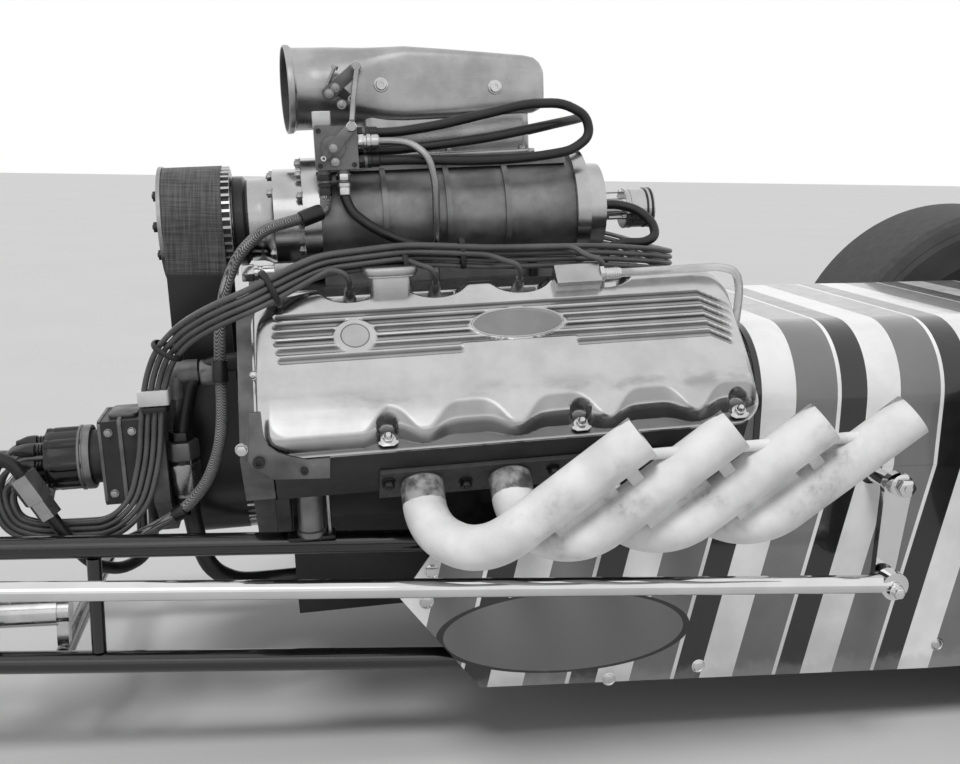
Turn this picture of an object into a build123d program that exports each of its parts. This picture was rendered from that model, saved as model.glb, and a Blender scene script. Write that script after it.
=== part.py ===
"""A front engine drag racing car with a supercharged V8.

Millimetres. The car drives towards -X, its left side is -Y and the ground is Z = 0.
The origin lies on the ground, in the middle of the car's length and width.
"""
from build123d import *
from math import cos, radians, sin, sqrt, tan
import os

os.makedirs("parts", exist_ok=True)

# Driving dimensions of the whole car
WHEELBASE = 4700
FRONT_TYRE_RADIUS = 310
SLICK_RADIUS = 390
TAIL_REACH = 880
FRONT_TRACK = 1120
REAR_TRACK = 1090
OVERALL_LENGTH = FRONT_TYRE_RADIUS + WHEELBASE + TAIL_REACH
FRONT_AXLE_X = FRONT_TYRE_RADIUS - OVERALL_LENGTH / 2
REAR_AXLE_X = FRONT_AXLE_X + WHEELBASE
LEFT = -1
RIGHT = 1
SIDES = ((LEFT, "left"), (RIGHT, "right"))
FIT = 0.3

# The engine has its own plane, nose down, with X measured back from the first exhaust port
ENGINE_AHEAD_OF_AXLE = 1370
CRANK_HEIGHT = 380
ENGINE_TILT = 3.15
ENGINE_X = REAR_AXLE_X - ENGINE_AHEAD_OF_AXLE
ENGINE = Plane(
    origin=(ENGINE_X, 0, CRANK_HEIGHT),
    x_dir=(cos(radians(ENGINE_TILT)), 0, sin(radians(ENGINE_TILT))),
    z_dir=(-sin(radians(ENGINE_TILT)), 0, cos(radians(ENGINE_TILT))),
)
PORT_PITCH = 117.6
PORTS = 4
BANK_ANGLE = 45

# Frame tubes, as places along the car, half widths and heights
RAIL_DIAMETER = 32
RAIL_WALL = 2.5
BRACE_DIAMETER = 20
CROSS_DIAMETER = 25
WELD_GAP = 0.6
NOSE_X = FRONT_AXLE_X + 150
WAIST_X = ENGINE_X - 560
HIP_X = ENGINE_X + 250
FRAME_END_X = REAR_AXLE_X + 400
NOSE_HALF = 150
WAIST_HALF = 222
HIP_HALF = 262
RAIL_PATHS = {
    "upper": ((NOSE_X, NOSE_HALF, 376), (WAIST_X, WAIST_HALF, 338), (HIP_X, HIP_HALF, 334),
              (FRAME_END_X, HIP_HALF, 322)),
    "lower": ((NOSE_X, NOSE_HALF, 282), (WAIST_X, WAIST_HALF, 168), (HIP_X, HIP_HALF, 146),
              (FRAME_END_X, HIP_HALF, 142)),
}
RAIL_BEND_RADIUS = 900


def engine(plane):
    """Take a plane given in the engine's own directions into the car."""
    return Plane(ENGINE.location * plane.location)


def engine_point(x, y, z):
    """Take a point given in the engine's own directions into the car."""
    return ENGINE.from_local_coords(Vector(x, y, z))


def bank(side, s, t):
    """Engine Y and Z of a point t along a bank's bores from the crank and s out and down."""
    turn = radians(BANK_ANGLE)
    return side * (t * sin(turn) + s * cos(turn)), t * cos(turn) - s * sin(turn)


def bank_plane(side, x, s, t):
    """A plane square to a bank's bores, with its X along the engine."""
    foot = engine_point(x, *bank(side, s, t))
    return Plane(origin=foot, x_dir=ENGINE.x_dir, z_dir=engine_point(x, *bank(side, s, t + 1)) - foot)


def round_section(plane, diameter, bore):
    """The round outline of a bar, or the ring of a tube, on its plane."""
    with BuildSketch(plane) as section:
        Circle(diameter / 2)
        if bore:
            Circle(bore / 2, mode=Mode.SUBTRACT)
    return section.sketch


def bar(start, end, diameter, bore=0):
    """Add a straight round bar or tube between two points to the open part."""
    run = Vector(end) - Vector(start)
    extrude(round_section(Plane(origin=Vector(start), z_dir=run), diameter, bore), amount=run.length)


def bent_tube(points, diameter, radii, bore=0):
    """Add a round tube along straight runs joined by tangent arcs to the open part."""
    with BuildLine() as route:
        FilletPolyline(*points, radius=radii)
    path = route.wire()
    sweep(round_section(Plane(origin=path @ 0, z_dir=path % 0), diameter, bore), path=path)


def easy_radii(points):
    """The arc at each corner of a hose, as large as its two runs allow."""
    radii = []
    for before, corner, after in zip(points, points[1:], points[2:]):
        run_in = Vector(corner) - Vector(before)
        run_out = Vector(after) - Vector(corner)
        half_turn = radians(run_in.get_angle(run_out)) / 2
        radii.append(0.45 * min(run_in.length, run_out.length) / tan(half_turn))
    return radii


def hose(points, diameter):
    """Add a hose along hand-chosen points in the engine's directions to the open part."""
    places = [engine_point(*point) for point in points]
    bent_tube(places, diameter, easy_radii(places))


def prism(plane, points, depth, both=False):
    """Add a flat outline, pushed along its plane's normal, to the open part."""
    with BuildSketch(plane) as outline:
        with BuildLine():
            Polyline(*points, close=True)
        make_face()
    extrude(outline.sketch, amount=depth, both=both)


def block_between(low, high, plane=Plane.XY, mode=Mode.ADD):
    """Add or cut a box given by two corners in a plane's own directions."""
    with BuildSketch(Plane(plane.location * Plane.XY.offset(low[2]).location)) as base:
        with Locations(((low[0] + high[0]) / 2, (low[1] + high[1]) / 2)):
            Rectangle(abs(high[0] - low[0]), abs(high[1] - low[1]))
    extrude(base.sketch, amount=high[2] - low[2], mode=mode)


def mirrored(points):
    """A closed outline from its right half, given from the bottom up."""
    return list(points) + [(-y, z) for y, z in reversed(points)]


def save(piece, name):
    """Label a finished piece and write its file."""
    piece.part.label = name
    export_step(piece.part, f"parts/{name}.step")


def rail_spot(which, side, x):
    """The centre and the direction of a frame rail at a place along the car."""
    path = RAIL_PATHS[which]
    for (x0, y0, z0), (x1, y1, z1) in zip(path, path[1:]):
        if x <= x1:
            break
    share = (x - x0) / (x1 - x0)
    centre = Vector(x, side * (y0 + share * (y1 - y0)), z0 + share * (z1 - z0))
    return centre, Vector(x1 - x0, side * (y1 - y0), z1 - z0).normalized()


def brace(start, end, diameter):
    """Add a brace that stops at the skin of the two rails it runs between."""
    (foot, foot_run), (head, head_run) = start, end
    run = (head - foot).normalized()
    stops = []
    for rail_run in (foot_run, head_run):
        lean = abs(run.dot(rail_run))
        square = sqrt(1 - lean * lean)
        stops.append((RAIL_DIAMETER / 2 + WELD_GAP + diameter / 2 * lean) / square)
    bar(foot + run * stops[0], head - run * stops[1], diameter)


# Frame: two rails on each side
for side, side_name in SIDES:
    with BuildPart() as rails:
        for path in RAIL_PATHS.values():
            points = [(x, side * y, z) for x, y, z in path]
            bent_tube(points, RAIL_DIAMETER, RAIL_BEND_RADIUS, RAIL_DIAMETER - 2 * RAIL_WALL)
    save(rails, f"frame_rails_{side_name}")

# Uprights and diagonals between the upper and the lower rail
UPRIGHTS = (
    NOSE_X + 50,
    NOSE_X + 560,
    NOSE_X + 1070,
    NOSE_X + 1580,
    NOSE_X + 2090,
    ENGINE_X - 446,
    ENGINE_X + 520,
    REAR_AXLE_X - 420,
    REAR_AXLE_X + 330,
)
DIAGONALS = ((0, 1), (1, 2), (2, 3), (3, 4), (4, 5), (6, 7))
DIAGONAL_INSET = 50
for side, side_name in SIDES:
    with BuildPart() as braces:
        for x in UPRIGHTS:
            brace(rail_spot("lower", side, x), rail_spot("upper", side, x), BRACE_DIAMETER)
        for first, last in DIAGONALS:
            foot = rail_spot("lower", side, UPRIGHTS[last] - DIAGONAL_INSET)
            head = rail_spot("upper", side, UPRIGHTS[first] + DIAGONAL_INSET)
            brace(foot, head, BRACE_DIAMETER)
    save(braces, f"side_braces_{side_name}")

# Tubes across the car, from rail to rail
CROSSINGS = (
    ("upper", NOSE_X + 20),
    ("lower", NOSE_X + 20),
    ("upper", NOSE_X + 1000),
    ("lower", NOSE_X + 1000),
    ("upper", NOSE_X + 1650),
    ("lower", NOSE_X + 1650),
    ("upper", NOSE_X + 2150),
    ("lower", ENGINE_X - 500),
    ("upper", ENGINE_X - 620),
    ("lower", ENGINE_X + 620),
    ("lower", REAR_AXLE_X - 380),
    ("lower", REAR_AXLE_X + 300),
    ("upper", REAR_AXLE_X + 385),
)
with BuildPart() as cross_tubes:
    for which, x in CROSSINGS:
        brace(rail_spot(which, LEFT, x), rail_spot(which, RIGHT, x), CROSS_DIAMETER)
save(cross_tubes, "cross_tubes")

# Front axle: a straight tube with an eye for each kingpin, and a tow eye in its middle
AXLE_HEIGHT = FRONT_TYRE_RADIUS
AXLE_DIAMETER = 44
KINGPIN_HALF = 470
KINGPIN_DIAMETER = 20
EYE_DIAMETER = 50
EYE_HEIGHT = 70
ROD_DIAMETER = 16
TIE_EYE_BORE = 26
TIE_EYE_DIAMETER = 50
TIE_EYE_THICKNESS = 12
with BuildPart() as front_axle:
    bar((FRONT_AXLE_X, -KINGPIN_HALF, AXLE_HEIGHT), (FRONT_AXLE_X, KINGPIN_HALF, AXLE_HEIGHT), AXLE_DIAMETER)
    for side, side_name in SIDES:
        eye = (FRONT_AXLE_X, side * KINGPIN_HALF)
        bar((*eye, AXLE_HEIGHT - EYE_HEIGHT / 2), (*eye, AXLE_HEIGHT + EYE_HEIGHT / 2), EYE_DIAMETER)
    tow_eye = (FRONT_AXLE_X - AXLE_DIAMETER / 2 - 45, 0)
    tow_half = TIE_EYE_THICKNESS / 2
    block_between((tow_eye[0], -18, AXLE_HEIGHT - tow_half), (FRONT_AXLE_X, 18, AXLE_HEIGHT + tow_half))
    with BuildSketch(Plane.XY.offset(AXLE_HEIGHT - tow_half)) as tow_ring:
        with Locations(tow_eye):
            Circle(TIE_EYE_DIAMETER / 2)
    extrude(amount=TIE_EYE_THICKNESS)
    with BuildSketch(Plane.XY.offset(AXLE_HEIGHT - tow_half)) as tow_bore:
        with Locations(tow_eye):
            Circle(TIE_EYE_BORE / 2)
    extrude(amount=TIE_EYE_THICKNESS, mode=Mode.SUBTRACT)
    for side, side_name in SIDES:
        with BuildSketch(Plane.XY.offset(AXLE_HEIGHT - EYE_HEIGHT / 2)) as pin_bore:
            with Locations((FRONT_AXLE_X, side * KINGPIN_HALF)):
                Circle(KINGPIN_DIAMETER / 2 + FIT)
        extrude(amount=EYE_HEIGHT, mode=Mode.SUBTRACT)
save(front_axle, "front_axle")

# Radius rods from the axle to the outside of the rails, and the torsion arms at the nose
ROD_SPREAD = 225
ROD_BACK_X = NOSE_X + 470
ROD_STEP = 14
with BuildPart() as radius_rods:
    for side, side_name in SIDES:
        for which, step in (("upper", ROD_STEP), ("lower", -ROD_STEP)):
            rail, rail_run = rail_spot(which, side, ROD_BACK_X)
            stand = RAIL_DIAMETER / 2 + ROD_DIAMETER / 2 + 2
            end = rail + Vector(0, side * stand, 0)
            bar((FRONT_AXLE_X, side * ROD_SPREAD, AXLE_HEIGHT + step), end, ROD_DIAMETER)
            bar(rail + Vector(0, side * (RAIL_DIAMETER / 2 + FIT), 0), end, ROD_DIAMETER * 0.7)
    seat_line = Plane(origin=(FRONT_AXLE_X, -ROD_SPREAD - ROD_DIAMETER, AXLE_HEIGHT), z_dir=(0, 1, 0))
    with BuildSketch(seat_line) as rod_seats:
        Circle(AXLE_DIAMETER / 2 + FIT)
    extrude(amount=2 * (ROD_SPREAD + ROD_DIAMETER), mode=Mode.SUBTRACT)
save(radius_rods, "radius_rods")

# Knuckles: fork, kingpin, stub axle and arms
EAR_THICKNESS = 14
WEB_START = 28
WEB_THICKNESS = 14
STUB_DIAMETER = 28
STUB_END = 142
FORK_WIDTH = 40
STEERING_ARM = 110
LINK_FRONT_HEIGHT = 450
TIE_ROD_AHEAD = 110
TIE_ROD_INSET = 30
TIE_ROD_DIAMETER = 18
TIE_ROD_DROP = 84
BALL_PIN = 12
EAR_TOP = AXLE_HEIGHT + EYE_HEIGHT / 2 + FIT
EAR_LOW = AXLE_HEIGHT - EYE_HEIGHT / 2 - FIT
for side, side_name in SIDES:
    with BuildPart() as knuckle:
        for low in (EAR_TOP, EAR_LOW - EAR_THICKNESS):
            with BuildSketch(Plane.XY.offset(low)) as ear:
                with Locations((FRONT_AXLE_X, side * KINGPIN_HALF)):
                    Circle(EYE_DIAMETER / 2)
                with Locations((FRONT_AXLE_X, side * (KINGPIN_HALF + (WEB_START + WEB_THICKNESS) / 2))):
                    Rectangle(FORK_WIDTH, WEB_START + WEB_THICKNESS)
            extrude(amount=EAR_THICKNESS)
        block_between(
            (FRONT_AXLE_X - FORK_WIDTH / 2, side * (KINGPIN_HALF + WEB_START), EAR_LOW - EAR_THICKNESS),
            (FRONT_AXLE_X + FORK_WIDTH / 2, side * (KINGPIN_HALF + WEB_START + WEB_THICKNESS),
             EAR_TOP + EAR_THICKNESS),
        )
        pin = (FRONT_AXLE_X, side * KINGPIN_HALF)
        bar((*pin, EAR_LOW - EAR_THICKNESS), (*pin, EAR_TOP + EAR_THICKNESS), KINGPIN_DIAMETER)
        stub_start = (FRONT_AXLE_X, side * (KINGPIN_HALF + WEB_START), AXLE_HEIGHT)
        bar(stub_start, (FRONT_AXLE_X, side * (KINGPIN_HALF + STUB_END), AXLE_HEIGHT), STUB_DIAMETER)
        tie_pin_y = side * (KINGPIN_HALF - TIE_ROD_INSET)
        arm_points = [
            (FRONT_AXLE_X + 12, side * (KINGPIN_HALF + 12)),
            (FRONT_AXLE_X + 12, side * (KINGPIN_HALF - 16)),
            (FRONT_AXLE_X - TIE_ROD_AHEAD - 13, side * (KINGPIN_HALF - TIE_ROD_INSET - 13)),
            (FRONT_AXLE_X - TIE_ROD_AHEAD - 13, side * (KINGPIN_HALF - TIE_ROD_INSET + 13)),
        ]
        prism(Plane.XY.offset(EAR_LOW - EAR_THICKNESS), arm_points, EAR_THICKNESS)
        tie_pin = (FRONT_AXLE_X - TIE_ROD_AHEAD, tie_pin_y)
        bar((*tie_pin, AXLE_HEIGHT - TIE_ROD_DROP), (*tie_pin, EAR_LOW - EAR_THICKNESS / 2), BALL_PIN)
        if side == LEFT:
            arm_top = LINK_FRONT_HEIGHT - 22
            arm_foot = (FRONT_AXLE_X, side * (KINGPIN_HALF - 4), EAR_TOP + EAR_THICKNESS / 2)
            elbow = (FRONT_AXLE_X, side * (KINGPIN_HALF - STEERING_ARM * 0.55), arm_top - 8)
            arm_end = (FRONT_AXLE_X, side * (KINGPIN_HALF - STEERING_ARM - 11), arm_top - 8)
            bent_tube([arm_foot, elbow, arm_end], 16, 30)
            ball = (FRONT_AXLE_X, side * (KINGPIN_HALF - STEERING_ARM))
            bar((*ball, arm_top - 10), (*ball, LINK_FRONT_HEIGHT + 16), BALL_PIN)
    save(knuckle, f"knuckle_{side_name}")

# Tie rod between the two knuckles, ahead of the axle
TIE_HEIGHT = AXLE_HEIGHT - TIE_ROD_DROP + 8
OPEN_PIVOT = 4
with BuildPart() as tie_rod:
    tie_x = FRONT_AXLE_X - TIE_ROD_AHEAD
    tie_half = KINGPIN_HALF - TIE_ROD_INSET
    bar((tie_x, -tie_half, TIE_HEIGHT), (tie_x, tie_half, TIE_HEIGHT), TIE_ROD_DIAMETER)
    for side, side_name in SIDES:
        bar((tie_x, side * tie_half, TIE_HEIGHT - 11), (tie_x, side * tie_half, TIE_HEIGHT + 11), 32)
    for side, side_name in SIDES:
        with BuildSketch(Plane.XY.offset(TIE_HEIGHT - 11)) as tie_bore:
            with Locations((tie_x, side * tie_half)):
                Circle(BALL_PIN / 2 + (FIT if side == LEFT else OPEN_PIVOT))
        extrude(amount=22, mode=Mode.SUBTRACT)
save(tie_rod, "tie_rod")

# Front wheels: hub, wire spokes and rim, with a narrow tyre
FRONT_WHEEL_HALF = FRONT_TRACK / 2
RIM_RADIUS = 236
RIM_INNER = 224
RIM_WIDTH = 80
HUB_DIAMETER = 62
HUB_WIDTH = 84
SPOKE_DIAMETER = 5
SPOKES = 20
TYRE_WIDTH = 100


def spin_profile(centre, points):
    """Add a ring turned about a wheel's axle from widths and radii to the open part."""
    with BuildSketch(Plane(origin=centre, x_dir=(0, 1, 0), z_dir=(1, 0, 0))) as profile:
        with BuildLine():
            Polyline(*points, close=True)
        make_face()
    revolve(profile.sketch, axis=Axis(centre, (0, 1, 0)))


for side, side_name in SIDES:
    hub_centre = (FRONT_AXLE_X, side * FRONT_WHEEL_HALF, AXLE_HEIGHT)
    with BuildPart() as front_rim:
        half = RIM_WIDTH / 2
        spin_profile(hub_centre, [
            (-half, RIM_INNER + 12), (-half, RIM_RADIUS + 8), (-half + 4, RIM_RADIUS + 8),
            (-half + 6, RIM_RADIUS),
            (half - 6, RIM_RADIUS), (half - 4, RIM_RADIUS + 8), (half, RIM_RADIUS + 8),
            (half, RIM_INNER + 12),
            (half - 14, RIM_INNER), (-half + 14, RIM_INNER),
        ])
        hub_half = HUB_WIDTH / 2
        spin_profile(hub_centre, [
            (-hub_half, STUB_DIAMETER / 2 + FIT), (-hub_half, HUB_DIAMETER / 2),
            (-hub_half + 8, HUB_DIAMETER / 2),
            (-hub_half + 14, HUB_DIAMETER / 2 - 9), (hub_half - 14, HUB_DIAMETER / 2 - 9),
            (hub_half - 8, HUB_DIAMETER / 2),
            (hub_half, HUB_DIAMETER / 2), (hub_half, STUB_DIAMETER / 2 + FIT),
        ])
        for spoke in range(SPOKES):
            turn = radians(360 / SPOKES * spoke)
            sweep_on = radians(360 / SPOKES * (1.6 if spoke % 4 < 2 else -1.6))
            flange = (hub_half - 4) * (1 if spoke % 2 else -1)
            inner_radius = HUB_DIAMETER / 2 - 2
            outer_radius = RIM_INNER + 3
            foot = Vector(hub_centre) + Vector(inner_radius * cos(turn), flange, inner_radius * sin(turn))
            head = Vector(hub_centre) + Vector(
                outer_radius * cos(turn + sweep_on), flange * 0.2, outer_radius * sin(turn + sweep_on)
            )
            bar(foot, head, SPOKE_DIAMETER)
    save(front_rim, f"front_wheel_{side_name}")
    with BuildPart() as front_tyre:
        bead = RIM_RADIUS + FIT
        tyre_half = TYRE_WIDTH / 2
        spin_profile(hub_centre, [
            (-33, bead), (33, bead), (35, bead + 10), (tyre_half - 3, bead + 18), (tyre_half, bead + 35),
            (tyre_half - 5, FRONT_TYRE_RADIUS - 14), (tyre_half - 18, FRONT_TYRE_RADIUS - 3),
            (0, FRONT_TYRE_RADIUS),
            (18 - tyre_half, FRONT_TYRE_RADIUS - 3), (5 - tyre_half, FRONT_TYRE_RADIUS - 14),
            (-tyre_half, bead + 35),
            (3 - tyre_half, bead + 18), (-35, bead + 10),
        ])
    save(front_tyre, f"front_tyre_{side_name}")

# Rear wheels: one locked shaft, disc wheels and wide slicks
REAR_AXLE_HEIGHT = SLICK_RADIUS
REAR_WHEEL_HALF = REAR_TRACK / 2
SLICK_WIDTH = 280
REAR_RIM_RADIUS = 203
REAR_RIM_WIDTH = 240
SHAFT_DIAMETER = 36
DISC_OFFSET = 30
DISC_THICKNESS = 12
SHAFT_FLANGE_DIAMETER = 130
SHAFT_FLANGE = 14
WHEEL_SLOTS = 6
rear_centre = (REAR_AXLE_X, 0, REAR_AXLE_HEIGHT)
flange_y = REAR_WHEEL_HALF + DISC_OFFSET
with BuildPart() as rear_shaft:
    bar((REAR_AXLE_X, -flange_y, REAR_AXLE_HEIGHT), (REAR_AXLE_X, flange_y, REAR_AXLE_HEIGHT), SHAFT_DIAMETER)
    for side, side_name in SIDES:
        bar(
            (REAR_AXLE_X, side * (flange_y - SHAFT_FLANGE), REAR_AXLE_HEIGHT),
            (REAR_AXLE_X, side * flange_y, REAR_AXLE_HEIGHT),
            SHAFT_FLANGE_DIAMETER,
        )
save(rear_shaft, "rear_axle_shaft")
for side, side_name in SIDES:
    wheel_centre = (REAR_AXLE_X, side * REAR_WHEEL_HALF, REAR_AXLE_HEIGHT)
    with BuildPart() as rear_rim:
        half = REAR_RIM_WIDTH / 2
        radius = REAR_RIM_RADIUS
        spin_profile(wheel_centre, [
            (-half, radius - 4), (-half, radius + 14), (-half + 5, radius + 14), (-half + 8, radius),
            (half - 8, radius), (half - 5, radius + 14), (half, radius + 14), (half, radius - 4),
            (half - 30, radius - 18), (-half + 30, radius - 18),
        ])
        disc_plane = Plane(origin=(REAR_AXLE_X, side * flange_y, REAR_AXLE_HEIGHT), x_dir=(1, 0, 0),
                           z_dir=(0, side, 0))
        with BuildSketch(disc_plane) as disc:
            Circle(radius - 10)
            with PolarLocations(radius * 0.62, WHEEL_SLOTS):
                Rectangle(54, 76, mode=Mode.SUBTRACT)
        extrude(amount=DISC_THICKNESS)
        with BuildSketch(disc_plane.offset(DISC_THICKNESS)) as cap:
            Circle(48)
        extrude(amount=24)
        with BuildSketch(disc_plane.offset(DISC_THICKNESS)) as nuts:
            with PolarLocations(56, 5):
                RegularPolygon(11, 6)
        extrude(amount=16)
    save(rear_rim, f"rear_wheel_{side_name}")
    with BuildPart() as slick:
        bead = REAR_RIM_RADIUS + FIT
        half = SLICK_WIDTH / 2
        lip = REAR_RIM_WIDTH / 2 - 8
        spin_profile(wheel_centre, [
            (-lip, bead), (lip, bead), (lip + 2, bead + 16), (half - 10, bead + 40), (half, bead + 90),
            (half - 6, SLICK_RADIUS - 40), (half - 18, SLICK_RADIUS - 9), (half - 32, SLICK_RADIUS),
            (32 - half, SLICK_RADIUS), (18 - half, SLICK_RADIUS - 9), (6 - half, SLICK_RADIUS - 40),
            (-half, bead + 90),
            (10 - half, bead + 40), (-lip - 2, bead + 16),
        ])
    save(slick, f"slick_{side_name}")

# Rear axle housing: centre case, side tubes, pinion nose, saddles on the rails and brakes
HOUSING_TUBE = 84
HOUSING_BORE = 52
HOUSING_HALF = 392
CASE_DIAMETER = 250
CASE_HALF = 85
PINION_DIAMETER = 130
PINION_REACH = 190
SADDLE_LENGTH = 90
AXLE_BEARING = 22
with BuildPart() as rear_housing:
    bar((REAR_AXLE_X, -HOUSING_HALF, REAR_AXLE_HEIGHT), (REAR_AXLE_X, HOUSING_HALF, REAR_AXLE_HEIGHT),
        HOUSING_TUBE)
    bar((REAR_AXLE_X, -CASE_HALF, REAR_AXLE_HEIGHT), (REAR_AXLE_X, CASE_HALF, REAR_AXLE_HEIGHT),
        CASE_DIAMETER)
    bar((REAR_AXLE_X - PINION_REACH, 0, REAR_AXLE_HEIGHT), (REAR_AXLE_X, 0, REAR_AXLE_HEIGHT),
        PINION_DIAMETER)
    for side, side_name in SIDES:
        rail, rail_run = rail_spot("upper", side, REAR_AXLE_X)
        block_between(
            (REAR_AXLE_X - SADDLE_LENGTH / 2, rail.Y - RAIL_DIAMETER / 2,
             rail.Z + RAIL_DIAMETER / 2 + 3 * FIT),
            (REAR_AXLE_X + SADDLE_LENGTH / 2, rail.Y + RAIL_DIAMETER / 2, REAR_AXLE_HEIGHT),
        )
        bar(
            (REAR_AXLE_X, side * (HOUSING_HALF - 12), REAR_AXLE_HEIGHT),
            (REAR_AXLE_X, side * HOUSING_HALF, REAR_AXLE_HEIGHT),
            190,
        )
    for half, width in ((HOUSING_HALF, SHAFT_DIAMETER + 2 * FIT),
                        (HOUSING_HALF - AXLE_BEARING, HOUSING_BORE)):
        with BuildSketch(Plane(origin=(REAR_AXLE_X, -half, REAR_AXLE_HEIGHT), z_dir=(0, 1, 0))) as shaft_bore:
            Circle(width / 2)
        extrude(amount=2 * half, mode=Mode.SUBTRACT)
save(rear_housing, "rear_axle_housing")

# Engine block, oil pan, timing cover and flywheel housing
BLOCK_FRONT = -190
BLOCK_REAR = 440
DECK = 258
DECK_HALF = 75
BLOCK_HALF = 168
BLOCK_RIGHT_HALF = [(120, -90), (BLOCK_HALF - 8, -30), (BLOCK_HALF, 40),
                    bank(RIGHT, DECK_HALF + 12, DECK - 55), bank(RIGHT, DECK_HALF, DECK),
                    bank(RIGHT, -DECK_HALF, DECK), (68, 165)]
with BuildPart() as engine_block:
    prism(engine(Plane.YZ.offset(BLOCK_FRONT)), mirrored(BLOCK_RIGHT_HALF), BLOCK_REAR - BLOCK_FRONT)
save(engine_block, "engine_block")
PAN_DEPTH = 125
with BuildPart() as oil_pan:
    pan_half = [(78, -90 - PAN_DEPTH), (116, -150), (120, -90 - FIT)]
    prism(engine(Plane.YZ.offset(BLOCK_FRONT + 12)), mirrored(pan_half), BLOCK_REAR - BLOCK_FRONT - 30)
save(oil_pan, "oil_pan")

HEAD_INNER = -70
HEAD_OUTER = 190
HEAD_TOP = 369.7
HEAD_FRONT = BLOCK_FRONT + 2
HEAD_REAR = BLOCK_REAR - 2
for side, side_name in SIDES:
    with BuildPart() as head:
        head_points = [
            bank(side, HEAD_INNER, DECK + FIT), bank(side, HEAD_OUTER - 25, DECK + FIT),
            bank(side, HEAD_OUTER, DECK + 17),
            bank(side, HEAD_OUTER, DECK + 77), bank(side, HEAD_OUTER - 10, HEAD_TOP),
            bank(side, HEAD_INNER, HEAD_TOP),
        ]
        prism(engine(Plane.YZ.offset(HEAD_FRONT)), head_points, HEAD_REAR - HEAD_FRONT)
    save(head, f"cylinder_head_{side_name}")

TIMING_FRONT = -228
with BuildPart() as timing_cover:
    timing_half = [(105, -88), (140, -40), bank(RIGHT, 120, 205), bank(RIGHT, HEAD_OUTER + 2, DECK + 25),
                   bank(RIGHT, HEAD_OUTER - 8, HEAD_TOP), bank(RIGHT, HEAD_INNER, HEAD_TOP), (105, 225)]
    prism(engine(Plane.YZ.offset(TIMING_FRONT)), mirrored(timing_half), HEAD_FRONT - FIT - TIMING_FRONT - 2)
save(timing_cover, "timing_cover")

COVER_FRONT = -205
COVER_REAR = 458
COVER_INNER = -62
COVER_OUTER = 180
COVER_TOP = 405
COVER_BREAK = 95
COVER_CORNER = 42
BREATHER_X = -17
BREATHER_LENGTH = 62
BREATHER_WIDTH = 46
BREATHER_HEIGHT = 34
BREATHER_LID = 8
NOTCH_RADIUS = 20
NOTCH_S = -58
PLUG_START = -74
PLUG_S = -56
VENT_BOX = (205, 258)
VENT_S = -42
VENT_T = 418
VENT_END = 297
for side, side_name in SIDES:
    with BuildPart() as cam_cover:
        middle = bank_plane(side, (COVER_FRONT + COVER_REAR) / 2, (COVER_INNER + COVER_OUTER) / 2,
                            HEAD_TOP + FIT)
        with BuildSketch(middle) as cover_plan:
            RectangleRounded(COVER_REAR - COVER_FRONT, COVER_OUTER - COVER_INNER, COVER_CORNER)
        extrude(amount=COVER_TOP - HEAD_TOP - FIT)
        slope = [bank(side, COVER_BREAK, COVER_TOP + 1), bank(side, COVER_OUTER - 30, COVER_TOP - 10),
                 bank(side, COVER_OUTER + 5, HEAD_TOP + 8), bank(side, COVER_OUTER + 30, COVER_TOP + 1)]
        with BuildSketch(engine(Plane.YZ.offset(COVER_FRONT - 5))) as wedge:
            with BuildLine():
                Polyline(*slope, close=True)
            make_face()
        extrude(amount=COVER_REAR - COVER_FRONT + 10, mode=Mode.SUBTRACT)
        for port in range(PORTS):
            notch_place = bank_plane(side, PLUG_START + port * PORT_PITCH, NOTCH_S, HEAD_TOP)
            with BuildSketch(notch_place) as notch:
                Circle(NOTCH_RADIUS)
            extrude(amount=COVER_TOP - HEAD_TOP + 2, mode=Mode.SUBTRACT)
        breather_plane = bank_plane(side, BREATHER_X, COVER_INNER + 24, COVER_TOP - 1)
        with BuildSketch(breather_plane) as stem:
            RectangleRounded(BREATHER_LENGTH - 10, BREATHER_WIDTH - 8, 12)
        extrude(amount=BREATHER_HEIGHT - BREATHER_LID)
        with BuildSketch(breather_plane.offset(BREATHER_HEIGHT - BREATHER_LID)) as lid:
            RectangleRounded(BREATHER_LENGTH, BREATHER_WIDTH, 15)
        extrude(amount=BREATHER_LID)
        if side == LEFT:
            box_start, box_end = VENT_BOX
            with BuildSketch(bank_plane(side, (box_start + box_end) / 2, VENT_S, COVER_TOP - 1)) as vent_box:
                RectangleRounded(box_end - box_start, 34, 4)
            extrude(amount=26)
            bar(engine_point(box_end - 2, *bank(side, VENT_S, VENT_T)),
                engine_point(VENT_END, *bank(side, VENT_S, VENT_T)), 12)
    save(cam_cover, f"cam_cover_{side_name}")

# Supercharger on its manifold, driven by a toothed belt from the crank
BLOWER_HEIGHT = 403.6
ROTOR_RADIUS = 78
ROTOR_SPREAD = 100
CASE_FRONT = -103
CASE_REAR = 274
FLANGE_HALF = 118
FLANGE_THICKNESS = 14
MANIFOLD_TOP = BLOWER_HEIGHT - ROTOR_RADIUS - FLANGE_THICKNESS
with BuildPart() as manifold:
    manifold_half = [(62, 168), (127, 240), bank(RIGHT, HEAD_INNER - FIT, DECK + 8),
                     bank(RIGHT, HEAD_INNER - FIT, DECK + 55),
                     (150, MANIFOLD_TOP - 14), (150, MANIFOLD_TOP - FIT)]
    prism(engine(Plane.YZ.offset(BLOCK_FRONT + 40)), mirrored(manifold_half), BLOCK_REAR - BLOCK_FRONT - 90)
save(manifold, "intake_manifold")


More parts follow.
